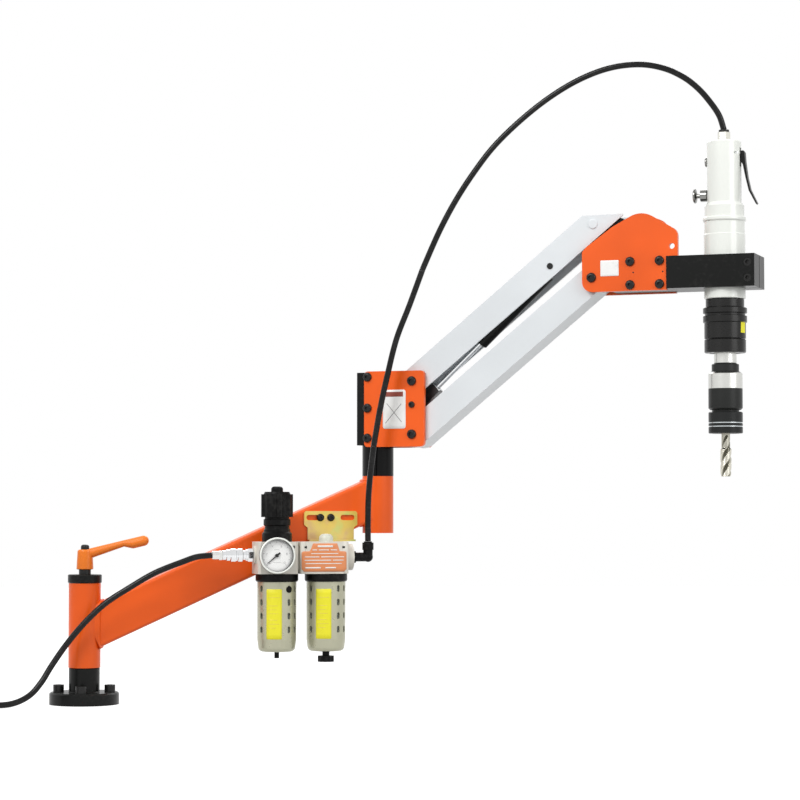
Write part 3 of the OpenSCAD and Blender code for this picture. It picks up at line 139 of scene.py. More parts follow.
class Wire:
    """A socket of a finish's nodes; +, - and * on wires and numbers add its Math nodes."""

    def __init__(self, finish, socket):
        self.finish, self.socket = finish, socket

    def maths(self, operation, *values):
        """One Math node on two wires or numbers."""
        return self.finish.node("ShaderNodeMath", {"operation": operation},
                                dict(enumerate(values)))

    def __add__(self, other):
        return self.maths("ADD", self, other)

    def __sub__(self, other):
        return self.maths("SUBTRACT", self, other)

    def __rsub__(self, other):
        return self.maths("SUBTRACT", other, self)

    def __mul__(self, other):
        return self.maths("MULTIPLY", self, other)

    __radd__ = __add__
    __rmul__ = __mul__

    def step(self, low, high, to=(0.0, 1.0)):
        """A smooth step from to[0] below low to to[1] above high."""
        return self.finish.node("ShaderNodeMapRange", {"interpolation_type": "SMOOTHSTEP"},
                                {"Value": self, "From Min": low, "From Max": high,
                                 "To Min": to[0], "To Max": to[1]})


class Finish:
    """A material: its principled shader, its Object coordinates and the nodes between them.
    Fixed sockets are given by name with underlines for spaces."""

    def __init__(self, name, colour, roughness, metallic=0.0, **fixed):
        self.name = name
        self.material = bpy.data.materials.new("finish_" + name)
        self.material.use_nodes = True
        self.tree = self.material.node_tree
        self.shader = self.tree.nodes["Principled BSDF"]
        self.shader.inputs["Base Color"].default_value = (*colour, 1)
        self.shader.inputs["Roughness"].default_value = roughness
        self.shader.inputs["Metallic"].default_value = metallic
        for socket, value in fixed.items():
            self.shader.inputs[socket.replace("_", " ")].default_value = value
        self.place = self.node("ShaderNodeTexCoord", {}, {}, "Object")

    def node(self, kind, settings, values, output=None):
        """Adds a node, its settings first and then the values or wires of its sockets, and gives
        the named output, or else the first one in use."""
        made = self.tree.nodes.new(kind)
        for key, value in settings.items():
            setattr(made, key, value)
        for key, value in values.items():
            if isinstance(value, Wire):
                self.tree.links.new(value.socket, made.inputs[key])
            else:
                made.inputs[key].default_value = value
        if output is None:
            return Wire(self, next(o for o in made.outputs if o.enabled))
        return Wire(self, made.outputs[output])

    def feed(self, socket, wire):
        """Links a wire to the shader's socket."""
        self.tree.links.new(wire.socket, self.shader.inputs[socket])

    def stretch(self, scale):
        """Object coordinates scaled along each axis."""
        return self.node("ShaderNodeMapping", {}, {"Vector": self.place, "Scale": scale})

    def noise(self, scale, detail=3.0, at=None, rough=0.5):
        """Fractal noise from 0 to 1, scale in cycles a metre."""
        return self.node("ShaderNodeTexNoise", {}, {"Vector": at or self.place, "Scale": scale,
                                                    "Detail": detail, "Roughness": rough}, "Fac")

    def mix(self, factor, a, b):
        """Colour a where factor is 0 and colour b where it is 1."""
        tones = [t if isinstance(t, Wire) else (*t, 1) for t in (a, b)]
        return self.node("ShaderNodeMix", {"data_type": "RGBA"},
                         {0: factor, 6: tones[0], 7: tones[1]})

    def bump(self, height, strength, distance):
        """Feeds a bump of height in metres times distance to the shader's normal."""
        self.feed("Normal", self.node("ShaderNodeBump", {}, {
            "Height": height, "Strength": strength, "Distance": distance}))

    def far_from(self, point, at=None):
        """Distance in metres of the Object coordinates, or of another vector, from a point."""
        return self.node("ShaderNodeVectorMath", {"operation": "DISTANCE"},
                         {0: at or self.place, 1: point}, "Value")

    def height(self):
        """The Object coordinate that points up."""
        return self.node("ShaderNodeSeparateXYZ", {}, {"Vector": self.place}, "Z")


def shade(colour, share):
    """A colour with each channel times share."""
    return tuple(min(1.0, c * share) for c in colour)


def enamel(name, colour, roughness, tone=0.10, peel=0.5, coat=0.35, dust=0.0, **fixed):
    """Sprayed enamel: slow changes of tone, an orange-peel ripple and, where it gathers, dust."""
    f = Finish(name, colour, roughness, Coat_Roughness=0.12, Coat_Weight=coat, **fixed)
    slow = f.noise(7.0, 2.0)
    fine = f.noise(420.0, 2.0)
    body = f.mix(slow.step(0.3, 0.7), shade(colour, 1 - tone), shade(colour, 1 + tone * 0.6))
    if dust:
        veil = (f.noise(26.0, 5.0) * f.noise(190.0, 4.0)).step(0.22, 0.42, (0.0, dust))
        body = f.mix(veil, body, (0.55, 0.53, 0.50))
    f.feed("Base Color", body)
    f.feed("Roughness", slow * 0.08 + fine * 0.06 + (roughness - 0.07))
    f.bump(fine + f.noise(1500.0, 1.0) * 0.3, peel, 0.0001)
    return f


def steel(name, colour, roughness, grain=(60, 60, 2200), tone=0.14, metallic=1.0, **fixed):
    """Bare or blackened metal with fine tool marks: grain says how many cross a metre of each
    axis, so they run where it is low, and tone how far they change the colour."""
    f = Finish(name, colour, roughness, metallic, **fixed)
    marks = f.noise(1.0, 3.0, at=f.stretch(grain), rough=0.7)
    stain = f.noise(18.0, 4.0)
    f.feed("Base Color", f.mix(stain * 0.5 + marks * 0.5, shade(colour, 1 - tone),
                               shade(colour, 1 + tone)))
    f.feed("Roughness", marks * 0.16 + stain * 0.08 + (roughness - 0.12))
    f.bump(marks, 0.25, 0.00008)
    return f


def moulded(name, colour, roughness):
    """Moulded plastic: an even leathery grain and a little dust in it."""
    f = Finish(name, colour, roughness, Specular_IOR_Level=0.10)
    grit = f.noise(700.0, 3.0)
    veil = (f.noise(22.0, 4.0) * f.noise(160.0, 3.0)).step(0.2, 0.42, (0.0, 0.03))
    f.feed("Base Color", f.mix(veil, f.mix(grit, shade(colour, 0.8), shade(colour, 1.25)),
                               (0.42, 0.41, 0.39)))
    f.feed("Roughness", grit * 0.14 + (roughness - 0.07))
    f.bump(grit, 0.35, 0.0001)
    return f


def clear(name, tint, roughness, see_through, film=0.08):
    """Clear plastic or glass: see_through is the share of light that passes, less the film of
    haze, which drifts from none to film."""
    f = Finish(name, tint, roughness, IOR=1.49)
    haze = f.noise(40.0, 3.0)
    f.feed("Base Color", f.mix(haze, shade(tint, 0.94), tint))
    f.feed("Roughness", haze * 0.1 + (roughness - 0.04))
    f.feed("Alpha", haze * film + (1 - see_through))
    return f


def hose_finish(name):
    """Rubbery tube: near-black and smooth, with scuffs where two noises meet."""
    f = Finish(name, (0.0035, 0.003, 0.003), 0.24, Specular_IOR_Level=0.20)
    scuff = f.noise(30.0, 5.0) * f.noise(260.0, 4.0)
    veil = scuff.step(0.2, 0.4, (0.0, 0.05))
    f.feed("Base Color", f.mix(veil, (0.006, 0.006, 0.006), (0.20, 0.20, 0.20)))
    f.feed("Roughness", scuff * 0.35 + 0.09)
    f.bump(f.noise(900.0, 2.0), 0.12, 0.0001)
    return f


BAND_EDGE, FORK_EDGE = 0.0004, 0.0006


def banded(name, bands, dark_tone, bright_tone):
    """Turned steel, blackened but for bright bands: heights from low to high in metres, where
    the metal between each pair is ground clean, with fine turning marks all over."""
    f = Finish(name, dark_tone, 0.3, Specular_IOR_Level=0.2)
    height = f.height()
    clean = 0.0
    for low, high in bands:
        clean = (height.step(low, low + BAND_EDGE)
                 * height.step(high, high + BAND_EDGE, (1.0, 0.0)) + clean)
    marks = f.noise(1.0, 3.0, at=f.stretch((50, 50, 2600)), rough=0.7)
    stain = f.noise(24.0, 4.0)
    black_side = f.mix(stain, shade(dark_tone, 0.75), shade(dark_tone, 1.3))
    bright_side = f.mix(marks, shade(bright_tone, 0.88), bright_tone)
    f.feed("Base Color", f.mix(clean, black_side, bright_side))
    f.feed("Metallic", clean * 0.85 + 0.15)
    f.feed("Roughness", marks * 0.12 + stain * 0.08 + 0.24 - clean * 0.08)
    f.bump(marks, 0.2, 0.00006)
    return f


def fluted_steel(name, axis, deep, shallow):
    """Ground tool steel with painted shade in its flutes: the distance from the upright axis,
    between deep and shallow, goes from dull and painted dark to bright."""
    f = Finish(name, (0.5, 0.49, 0.42), 0.2, 1.0)
    flat = f.node("ShaderNodeVectorMath", {"operation": "MULTIPLY"}, {0: f.place, 1: (1, 1, 0)},
                  "Vector")
    # ground is 0 in the painted flute shade and 1 on the lands.
    ground = f.far_from(axis, flat).step(deep, shallow)
    marks = f.noise(1.0, 3.0, at=f.stretch((300, 300, 1400)), rough=0.7)
    # Painted shade: the flute bottoms are coloured dark (0.17, 0.165, 0.13) to stand in for the
    # shadow in them.
    f.feed("Base Color", f.mix(ground, (0.17, 0.165, 0.13),
                               f.mix(marks, (0.52, 0.50, 0.43), (0.68, 0.66, 0.58))))
    f.feed("Roughness", marks * 0.1 - ground * 0.16 + 0.32)
    f.bump(marks, 0.2, 0.00005)
    return f


def rod_finish(name, foot, reach):
    """Strut rod: blackened near its foot, out to a reach from it, and chrome beyond."""
    f = Finish(name, (0.7, 0.71, 0.72), 0.16)
    fork = f.far_from(foot).step(reach, reach + FORK_EDGE, (1.0, 0.0))
    stain = f.noise(60.0, 3.0)
    f.feed("Base Color", f.mix(fork, f.mix(stain, (0.66, 0.67, 0.68), (0.78, 0.79, 0.80)),
                               f.mix(stain, (0.012, 0.012, 0.013), (0.035, 0.034, 0.034))))
    f.feed("Metallic", 1.0 - fork * 0.7)
    f.feed("Roughness", stain * 0.08 + fork * 0.16 + 0.10)
    return f


TOOL_AXIS = (1.053421, -0.085874, 0.0)
# Distances in metres from the tap's axis over which the painted flute shade fades to the bright
# lands.
FLUTE_DEEP, FLUTE_SHALLOW = 0.0050, 0.0086
ADAPTER_BANDS = ((0.5181, 0.5435), (0.5599, 0.62))
RING_BANDS = ((0.4556, 0.4571), (0.4616, 0.4631))
NUT_BANDS = ((0.9236, 0.9380),)
ROD_FOOT, FORK_REACH = (0.555625, 0.095309, 0.498759), 0.0462

orange = enamel("orange_enamel", (0.85, 0.108, 0.006), 0.34, peel=0.35, coat=0.10,
                Specular_IOR_Level=0.28)
lever_orange = enamel("lever_orange", (0.80, 0.185, 0.012), 0.36, peel=0.5, coat=0.10,
                      Specular_IOR_Level=0.3)
pale = enamel("pale_enamel", (0.70, 0.73, 0.75), 0.36, tone=0.04, peel=0.4, coat=0.12,
              dust=0.03)
motor_white = enamel("motor_enamel", (0.84, 0.86, 0.81), 0.22, tone=0.03, peel=0.25, coat=0.3,
                     dust=0.03)
black = enamel("black_enamel", (0.0048, 0.0052, 0.0048), 0.32, peel=0.3, coat=0.06, dust=0.012,
               Specular_IOR_Level=0.12)
gloss_black = enamel("gloss_black", (0.002, 0.002, 0.002), 0.14, peel=0.2, coat=0.05,
                     Specular_IOR_Level=0.12)
dark = steel("blackened_steel", (0.012, 0.0117, 0.0113), 0.28, grain=(300, 300, 300), metallic=0.3,
             Specular_IOR_Level=0.35)
bright = steel("bright_steel", (0.70, 0.70, 0.68), 0.22)
chrome = steel("chrome_plate", (0.72, 0.73, 0.74), 0.14, grain=(90, 90, 400), tone=0.05)
dark_chrome = steel("dark_chrome", (0.22, 0.22, 0.21), 0.12, grain=(90, 90, 400), tone=0.3)
zinc = enamel("zinc_paint", (0.69, 0.66, 0.585), 0.46, tone=0.06, peel=1.0, coat=0.04, dust=0.04)
guard_metal = steel("guard_metal", (0.44, 0.435, 0.32), 0.30, grain=(60, 60, 60), tone=0.06,
                    metallic=0.45, Specular_IOR_Level=0.4)
bronze = steel("bush_bronze", (0.45, 0.28, 0.12), 0.40)
plastic = moulded("black_plastic", (0.004, 0.004, 0.004), 0.36)
hose_black = hose_finish("black_tube")
glass = clear("clear_window", (0.97, 0.98, 0.98), 0.04, 0.985, film=0.01)
bowl = clear("bowl_window", (0.80, 0.85, 0.80), 0.16, 0.45)
coated = fluted_steel("coated_tool_steel", TOOL_AXIS, FLUTE_DEEP, FLUTE_SHALLOW)
adapter = banded("adapter_steel", ADAPTER_BANDS, (0.020, 0.021, 0.020), (0.70, 0.70, 0.67))
ring = banded("ring_steel", RING_BANDS, (0.016, 0.017, 0.017), (0.62, 0.66, 0.67))
nut = banded("nut_plating", NUT_BANDS, (0.03, 0.03, 0.03), (0.80, 0.79, 0.72))
rod = rod_finish("rod_chrome", ROD_FOOT, FORK_REACH)


def yellow_zinc(name):
    """Yellow-passivated sheet: straw, green and pink clouds that drift into each other, one noise
    for the hue and a slower one for how pale it is."""
    f = Finish(name, (0.70, 0.60, 0.32), 0.34, 0.6)
    hue = f.noise(34.0, 2.0)
    paleness = f.noise(12.0, 2.0)
    tint = f.mix(hue.step(0.52, 0.72), f.mix(hue.step(0.32, 0.5), (0.64, 0.40, 0.17),
                                             (0.72, 0.52, 0.10)), (0.56, 0.57, 0.15))
    f.feed("Base Color", f.mix(paleness.step(0.35, 0.8, (0.0, 0.45)), tint, (0.72, 0.68, 0.48)))
    marks = f.noise(1.0, 3.0, at=f.stretch((40, 40, 900)))
    f.feed("Roughness", marks * 0.15 + 0.24)
    f.bump(marks, 0.12, 0.00005)
    return f


gold = yellow_zinc("gold_zinc")

OF_SLOT = {f.name: f for f in (orange, pale, black, dark, bright, gold, plastic, hose_black, glass,
                               bowl, coated)}
OF_SLOT.update({"chrome": chrome, "zinc_casting": zinc, "bronze": bronze})
OF_NODE = {"clamp_lever": lever_orange, "motor_body": motor_white, "motor_head": motor_white,
           "swivel_post": gloss_black, "filter_guard": guard_metal,
           "lubricator_guard": guard_metal, "tap_adapter": adapter, "adapter_ring": ring,
           "inlet_nut": nut, "gas_rod": rod, "reverse_guide": dark_chrome,
           "reverse_button": dark_chrome}


def finish_of(part):
    """The finish of a node: its own, or the one of its slot in the record."""
    return OF_NODE.get(part["node"]) or OF_SLOT[part["material_slot"]]


for part in frame["record"]["subparts"]:
    obj = frame["nodes"][part["node"]]
    obj.data.materials.clear()
    obj.data.materials.append(finish_of(part).material)


# Meshes

def piece(name, verts, faces, finish, slot, body):
    """A smooth mesh object from arrays of points and faces, with its finish and body; slot is not
    used.
    """
    mesh = bpy.data.meshes.new(name)
    mesh.from_pydata(np.asarray(verts, float).tolist(), [], [list(map(int, f)) for f in faces])
    mesh.validate()
    mesh.materials.append(finish.material)
    obj = bpy.data.objects.new(name, mesh)
    bpy.context.scene.collection.objects.link(obj)
    mesh.shade_smooth()
    if body:
        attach(obj, body)
    return obj


def grid_faces(rows, columns, closed_rows=False, closed_columns=False):
    """Quads between neighbours on a grid of points stored row by row."""
    r = np.arange(rows if closed_rows else rows - 1)
    c = np.arange(columns if closed_columns else columns - 1)
    r, c = np.meshgrid(r, c, indexing="ij")
    r2, c2 = (r + 1) % rows, (c + 1) % columns
    quads = np.stack([r * columns + c, r * columns + c2, r2 * columns + c2, r2 * columns + c], -1)
    return quads.reshape(-1, 4)


def unit(v):
    """Rows of v, each over its length."""
    v = np.asarray(v, float)
    return v / np.linalg.norm(v, axis=-1, keepdims=True)


def run(points, steps):
    """Catmull-Rom run through points: each stretch is a cubic whose ends head along the
    chords of their neighbours, sampled at so many steps."""
    p = np.asarray(points, float)
    a, b = np.vstack([p[:1], p[:-2]]), p[:-1]
    c, e = p[1:], np.vstack([p[2:], p[-1:]])
    t = (np.arange(steps) / steps)[None, :, None]
    a, b, c, e = (q[:, None, :] for q in (a, b, c, e))
    curve = 0.5 * (2 * b + (c - a) * t + (2 * a - 5 * b + 4 * c - e) * t ** 2
                   + (3 * b - a - 3 * c + e) * t ** 3)
    return np.vstack([curve.reshape(-1, 3), p[-1:]])


ASIDE = (0.31, 0.95, 0.05)


def tube(path, radius, sides=20):
    """Points and faces of a round tube: at each path point, radius times cosine and sine along
    two directions square to the path, the first of them also square to ASIDE, along which no
    hose runs, with its ends closed by one face each."""
    path = np.asarray(path, float)
    heading = unit(np.gradient(path, axis=0))
    side = unit(np.cross(heading, ASIDE))
    up = np.cross(heading, side)
    turn = np.linspace(0, 2 * math.pi, sides, endpoint=False)
    rings = path[:, None] + radius * (np.cos(turn)[None, :, None] * side[:, None]
                                      + np.sin(turn)[None, :, None] * up[:, None])
    faces = [tuple(q) for q in grid_faces(len(path), sides, closed_columns=True)[:, ::-1]]
    last = (len(path) - 1) * sides
    faces += [tuple(range(sides)), tuple(last + k for k in range(sides - 1, -1, -1))]
    return rings.reshape(-1, 3), faces


# Hoses

HOSE_R_MM = 5.0
HOSE_R = HOSE_R_MM * MM
RUN_STEPS, COIL_STEP = 8, 6.0
LOWER = [[469.1, 46.9, 268.3], [469.1, 46.9, 303], [469.8, 46.9, 339], [473, 47, 380],
         [479, 47, 430]]
MIDDLE = [[479, 47, 430], [489, 45, 488], [501, 42, 544], [517, 38, 608], [539, 33, 665],
          [561, 28, 725]]
UPPER = [[561, 28, 725], [589, 20, 788], [617, 12, 840], [648, 4, 887], [681, -4, 929],
         [724, -14, 970], [771, -26, 1006], [820, -38, 1034], [869, -50, 1051], [917, -62, 1055],
         [957, -71, 1047], [989, -77, 1031], [1013, -81, 1011], [1032, -84, 988],
         [1046, -85.4, 966], [1053.4, -85.8, 942.7]]
SUPPLY = [[211.7, -17.3, 246], [188, -22, 243.5], [166, -26, 236], [120, -33, 217.5],
          [79, -39, 193.5], [40, -43, 168], [6, -46, 136], [-23, -50, 101], [-46, -56, 67],
          [-62, -63, 40], [-80, -73, 19], [-106, -86, 7], [-140, -95, 5], [-178, -98, 5],
          [-215, -98, 5]]
COIL_R, COIL_PITCH, COIL_TURNS, TAIL_SWEEP = 58.0, 10.6, 3, 105.0
PLUG_Z, PLUG_OUT = 8.0, 5.0


def coil_path(step):
    """The stored hose in millimetres: with a the angle turned so far, its radius falls by a pitch
    a turn to the middle and grows again one layer up; the tail rolls down outside the pile."""
    out, inner = (COIL_R + s * COIL_TURNS * COIL_PITCH / 2 for s in (1, -1))
    sweep = COIL_TURNS * 360.0
    a = np.arange(0, 2 * sweep + TAIL_SWEEP + 0.01, step)
    tail = np.clip((a - 2 * sweep) / TAIL_SWEEP, 0, 1)
    roll = math.acos((PLUG_Z - HOSE_R_MM) / COIL_PITCH) * tail
    radius = np.where(a <= 2 * sweep, inner + COIL_PITCH * np.abs(a - sweep) / 360,
                      out - COIL_PITCH * (a - 2 * sweep) / 360 + COIL_PITCH * np.sin(roll)
                      + PLUG_OUT * tail)
    rise = np.where(a <= 2 * sweep, COIL_PITCH * np.clip((a - sweep + 90) / 180, 0, 1),
                    COIL_PITCH * np.cos(roll))
    turn = np.radians(90 + a)
    centre = np.array(SUPPLY[-1]) - [0, out, 0]
    return centre + np.stack([radius * np.cos(turn), radius * np.sin(turn), rise], 1)


def hose(name, path_mm, node, body, bodies=None):
    """A run of the black hose along a route in millimetres. It rides on one body, or, where bodies
    are given, on none, with its placing applied to its points."""
    path = np.asarray(path_mm) * MM
    verts, faces = tube(path, HOSE_R)
    obj = piece(name, verts, faces, hose_black, "black_tube", body)
    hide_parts(node)
    if bodies:
        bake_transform(obj)


hose("hose_lower", run(LOWER, RUN_STEPS), "tool_hose_lower", None,
     ("lower_arm", "post"))
hose("hose_middle", run(MIDDLE, RUN_STEPS), "tool_hose_middle", None,
     ("post", "lower_link"))
hose("hose_upper", run(UPPER, RUN_STEPS), "tool_hose_upper", None,
     ("lower_link", "head"))
hose("supply_run", run(SUPPLY, RUN_STEPS), "supply_hose", None,
     ("lower_arm", "base"))
hose("supply_store", coil_path(COIL_STEP), "supply_coil", "base")

# Places on the machine

# Millimetres, and degrees for the yaws: u along the lower arm, v away from the camera, z up.
ELBOW = (485.148, 120.961)
ARM_YAW, HEAD_YAW = 14.0, -20.0
UNIT_V, GAUGE_V = 68.0, 99.0
FILTER_U, LUB_U, GAUGE_U, PORT_Z = 311.0, 394.5, 300.5, 246.0
UNIT_Z, UNIT_TOP = 215.0, 268.0
LUB_LEFT, LUB_RIGHT = 344.81, 426.5
HEAD_PIVOT = (389.745, 703.633)
TOOL_X = 604.745
PLATE_Y = 38.0


def on_arm(points):
    """Millimetres along, away from the camera and up in the lower arm's frame, to metres."""
    return turned(points, ARM_YAW, (0, 0))


def on_head(points):
    """Millimetres along, away from the camera and up in the upper arm's frame, to metres."""
    return turned(points, HEAD_YAW, ELBOW)


def turned(points, yaw, origin):
    """Points turned about the vertical by yaw degrees and moved to origin, in metres."""
    p = np.asarray(points, float)
    c, s = math.cos(math.radians(yaw)), math.sin(math.radians(yaw))
    x = origin[0] + c * p[..., 0] - s * p[..., 1]
    y = origin[1] + s * p[..., 0] + c * p[..., 1]
    return np.stack([x, y, p[..., 2]], -1) * MM


def rounded(width, height, corner, steps=6):
    """Outline of a rectangle whose corners are quarter circles, from the lower right one on."""
    points = []
    for k, (sx, sz) in enumerate([(1, -1), (1, 1), (-1, 1), (-1, -1)]):
        turn = np.radians(-90 + 90 * k + np.linspace(0, 90, steps))
        points.append(np.stack([sx * (width / 2 - corner) + corner * np.cos(turn),
                                sz * (height / 2 - corner) + corner * np.sin(turn)], 1))
    return np.vstack(points)


def facing(put, x, y, z):
    """Lays a decal on a flat face that looks at the camera: across, out and up from a point."""
    def lay(across, out, up):
        return put(np.stack([x + across, y - out, z + up], -1))
    return lay


def wrapped(put, x, y, z, radius, middle):
    """Lays a decal round a cylinder: across becomes an angle about its axis, from the angle
    middle in degrees, and out adds to its radius."""
    def lay(across, out, up):
        a = math.radians(middle) + across / radius
        r = radius + out
        return put(np.stack([x + r * np.sin(a), y - r * np.cos(a), z + up], -1))
    return lay


def resampled(outline, step=1.8):
    """The outline with each side cut into equal parts no longer than step."""
    o = np.asarray(outline, float)
    after = np.roll(o, -1, 0)
    parts = np.maximum(1, np.ceil(np.linalg.norm(after - o, axis=1) / step)).astype(int)
    return np.vstack([a + (b - a) * (np.arange(n) / n)[:, None]
                      for a, b, n in zip(o, after, parts)])


EDGE_SHARE, CORE_SHARE = 0.3, 0.01


def plate(outline, lay, thick, rings=5):
    """Points and faces of a thin sticker or plate: rings of its outline, shrunk in even steps to
    a small core in the middle, stand thick above the surface that lay curves them onto. A share
    of the thickness is taken off the edge."""
    o = resampled(outline)
    middle = (o.max(0) + o.min(0)) / 2
    edge = thick * EDGE_SHARE
    size = (o.max(0) - o.min(0)).max() / 2
    shrink = [1, 1, 1 - edge / size,
              *np.linspace(1, 0, rings + 1)[1:-1] * (1 - edge / size), CORE_SHARE]
    rise = [0.0, thick - edge, *[thick] * (rings + 1)]
    flat = [middle + (o - middle) * s for s in shrink]
    verts = np.vstack([lay(p[:, 0], np.full(len(o), h), p[:, 1]) for p, h in zip(flat, rise)])
    n = len(o)
    faces = [tuple(q) for q in grid_faces(len(flat), n, closed_columns=True)]
    faces.append(tuple((len(flat) - 1) * n + k for k in range(n)))
    faces.append(tuple(range(n - 1, -1, -1)))
    return verts, faces


STATION_GAP = 1.5


def bar(x0, z0, x1, z1, width, lay, thick=0.06):
    """Points and faces of a thin straight stroke on a surface: its four long edges run side by
    side through stations no further apart than a gap, so it follows a curve."""
    reach = math.hypot(x1 - x0, z1 - z0)
    stations = np.linspace(0, 1, max(2, int(reach / STATION_GAP) + 2))[:, None]
    along = np.array([x0, z0]) + stations * np.array([x1 - x0, z1 - z0], float)
    side = np.array([z0 - z1, x1 - x0]) / reach * width / 2
    edges = np.stack([along - side, along - side, along + side, along + side], 1).reshape(-1, 2)
    verts = lay(edges[:, 0], np.tile([0.0, thick, thick, 0.0], len(along)), edges[:, 1])
    faces = [tuple(q) for q in grid_faces(len(along), 4, closed_columns=True)]
    last = 4 * (len(along) - 1)
    return verts, faces + [(3, 2, 1, 0), (last, last + 1, last + 2, last + 3)]


def decal(name, outline, lay, finish, slot, body, **how):
    """One sticker or plate as a piece."""
    return piece(name, *plate(outline, lay, **how), finish, slot, body)


def gathered(name, shells, finish, slot, body):
    """One piece of several closed shells, whose points follow each other."""
    starts = np.cumsum([0] + [len(v) for v, _ in shells[:-1]])
    faces = [tuple(int(i) + start for i in face)
             for (_, fs), start in zip(shells, starts) for face in fs]
    return piece(name, np.vstack([v for v, _ in shells]), faces, finish, slot, body)


def disc(radius, sides=40):
    """Outline of a circle: radius times cosine and sine of as many even angles as sides."""
    turn = np.linspace(0, 2 * math.pi, sides, endpoint=False)
    return np.stack([radius * np.cos(turn), radius * np.sin(turn)], 1)


def spun(profile, place_at, sides=64, hollow=False):
    """Points and faces of a profile of (along, radius) pairs carried round an axis: along stays
    and the radius turns to its cosine and sine, which place_at puts on the machine. A solid one
    is capped at both ends, and a hollow one, a ring, joins its last row to its first."""
    along, radius = np.asarray(profile, float).T
    turn = np.linspace(0, 2 * math.pi, sides, endpoint=False)
    points = place_at(np.repeat(along, sides), np.outer(radius, np.cos(turn)).ravel(),
                      np.outer(radius, np.sin(turn)).ravel())
    faces = [tuple(q) for q in grid_faces(len(along), sides, hollow, True)]
    last = (len(along) - 1) * sides
    if not hollow:
        faces += [tuple(range(sides - 1, -1, -1)), tuple(last + k for k in range(sides))]
    return points, faces


def paper(name, colour, roughness=0.45):
    """Printed film or a painted metal label: an even tone with faint mottling and, where two
    noises meet, the dirt of handling."""
    f = Finish(name, colour, roughness)
    mottle = f.noise(120.0, 4.0)
    grime = (f.noise(45.0, 5.0) * f.noise(400.0, 3.0)).step(0.25, 0.5, (0.0, 0.16))
    f.feed("Base Color", f.mix(grime, f.mix(mottle, shade(colour, 0.94), shade(colour, 1.04)),
                               shade(colour, 0.45)))
    f.feed("Roughness", mottle * 0.12 + (roughness - 0.06))
    f.bump(mottle, 0.08, 0.0001)
    return f


white = paper("label_white", (0.86, 0.86, 0.84))
dial_white = paper("dial_white", (0.96, 0.96, 0.94), 0.3)
brown = paper("label_brown", (0.26, 0.050, 0.030))
grey = paper("label_grey", (0.06, 0.058, 0.058))
yellow = paper("label_yellow", (0.85, 0.79, 0.022), 0.5)
plaque = paper("plaque_orange", (0.74, 0.26, 0.10), 0.40)


# Labels

LABEL_X, LABEL_Z, LABEL_THICK = 43.7, 491.3, 0.6
decal("block_label", rounded(41, 66, 4), facing(on_head, LABEL_X, -PLATE_Y, LABEL_Z), white,
      "pale_enamel", "post", thick=LABEL_THICK)
on_label = facing(on_head, LABEL_X, -PLATE_Y - LABEL_THICK, LABEL_Z)
decal("block_label_header", rounded(32, 8.2, 0.5) + [0, 25.3], on_label, brown, "orange_enamel",
      "post", thick=0.08)
gathered("block_label_cross", [bar(*line, 0.8, on_label)
                               for line in ((-13.4, 9.8, 13.5, -22), (12.7, 9, -15.8, -23.6))],
         grey, "pale_enamel", "post")
decal("head_label", rounded(31, 26, 1.2),
      facing(on_head, HEAD_PIVOT[0] + 31, -PLATE_Y, HEAD_PIVOT[1] + 14.4),
      white, "pale_enamel", "head", thick=0.4)
by_pivot = facing(on_head, HEAD_PIVOT[0], -PLATE_Y, HEAD_PIVOT[1] + 6.1)
gathered("head_dots", [plate(disc(1.3) + [x, 0], by_pivot, thick=0.06, rings=2)
                       for x in (71, 120.6)],
         dark, "blackened_steel", "head")

GUARD_R, FILM, RULE_HALF, RULE_WIDTH = 32.5, 0.3, 9.5, 0.45
LABEL_MID, LABEL_TURN = 148.8, -19.5
BUTTON_Z, BUTTON_TURN = 189.5, 27.0
LABEL_RULES = ((27.5, 0), (14, 3), (7.5, 5), (1, 2), (-9.5, 4), (-16, 1), (-22.5, 6))
for name, u in (("filter", FILTER_U), ("lubricator", LUB_U)):
    decal(f"{name}_label", rounded(26.5, 82.6, 2),
          wrapped(on_arm, u, -UNIT_V, LABEL_MID, GUARD_R, LABEL_TURN), yellow, "black_plastic",
          "lower_arm", thick=FILM)
    on_film = wrapped(on_arm, u, -UNIT_V, LABEL_MID, GUARD_R + FILM, LABEL_TURN)
    gathered(f"{name}_label_rules",
             [bar(-RULE_HALF, z, RULE_HALF - short, z, RULE_WIDTH, on_film)
              for z, short in LABEL_RULES],
             gold, "gold_zinc", "lower_arm")
decal("filter_button", disc(5.6),
      wrapped(on_arm, FILTER_U, -UNIT_V, BUTTON_Z, GUARD_R, BUTTON_TURN),
      plastic, "black_plastic", "lower_arm", thick=1.2)
CHUCK_Z, CHUCK_R, CHUCK_TURN = 618, 33.75, 72.0
decal("chuck_label", rounded(13, 20, 1), wrapped(on_head, TOOL_X, 0, CHUCK_Z, CHUCK_R, CHUCK_TURN),
      yellow, "black_plastic", "spindle", thick=FILM)

# Lubricator front

PLAQUE = [(-38, -19), (-34, -23.3), (34, -23.3), (38, -19), (38, 8), (36, 10), (26.5, 10.5),
          (22, 23.3), (-18.5, 23.3), (-24, 10.5), (-36, 10), (-38, 8)]
PLAQUE_U, PLAQUE_Z, PLAQUE_THICK = 384.5, 242.0, 0.7
CORNER_CUT, CORNER_ROUND, CORNER_SKIN = 9.4, 3, 0.8
plaque_face = facing(on_arm, PLAQUE_U, -GAUGE_V - PLAQUE_THICK, PLAQUE_Z)


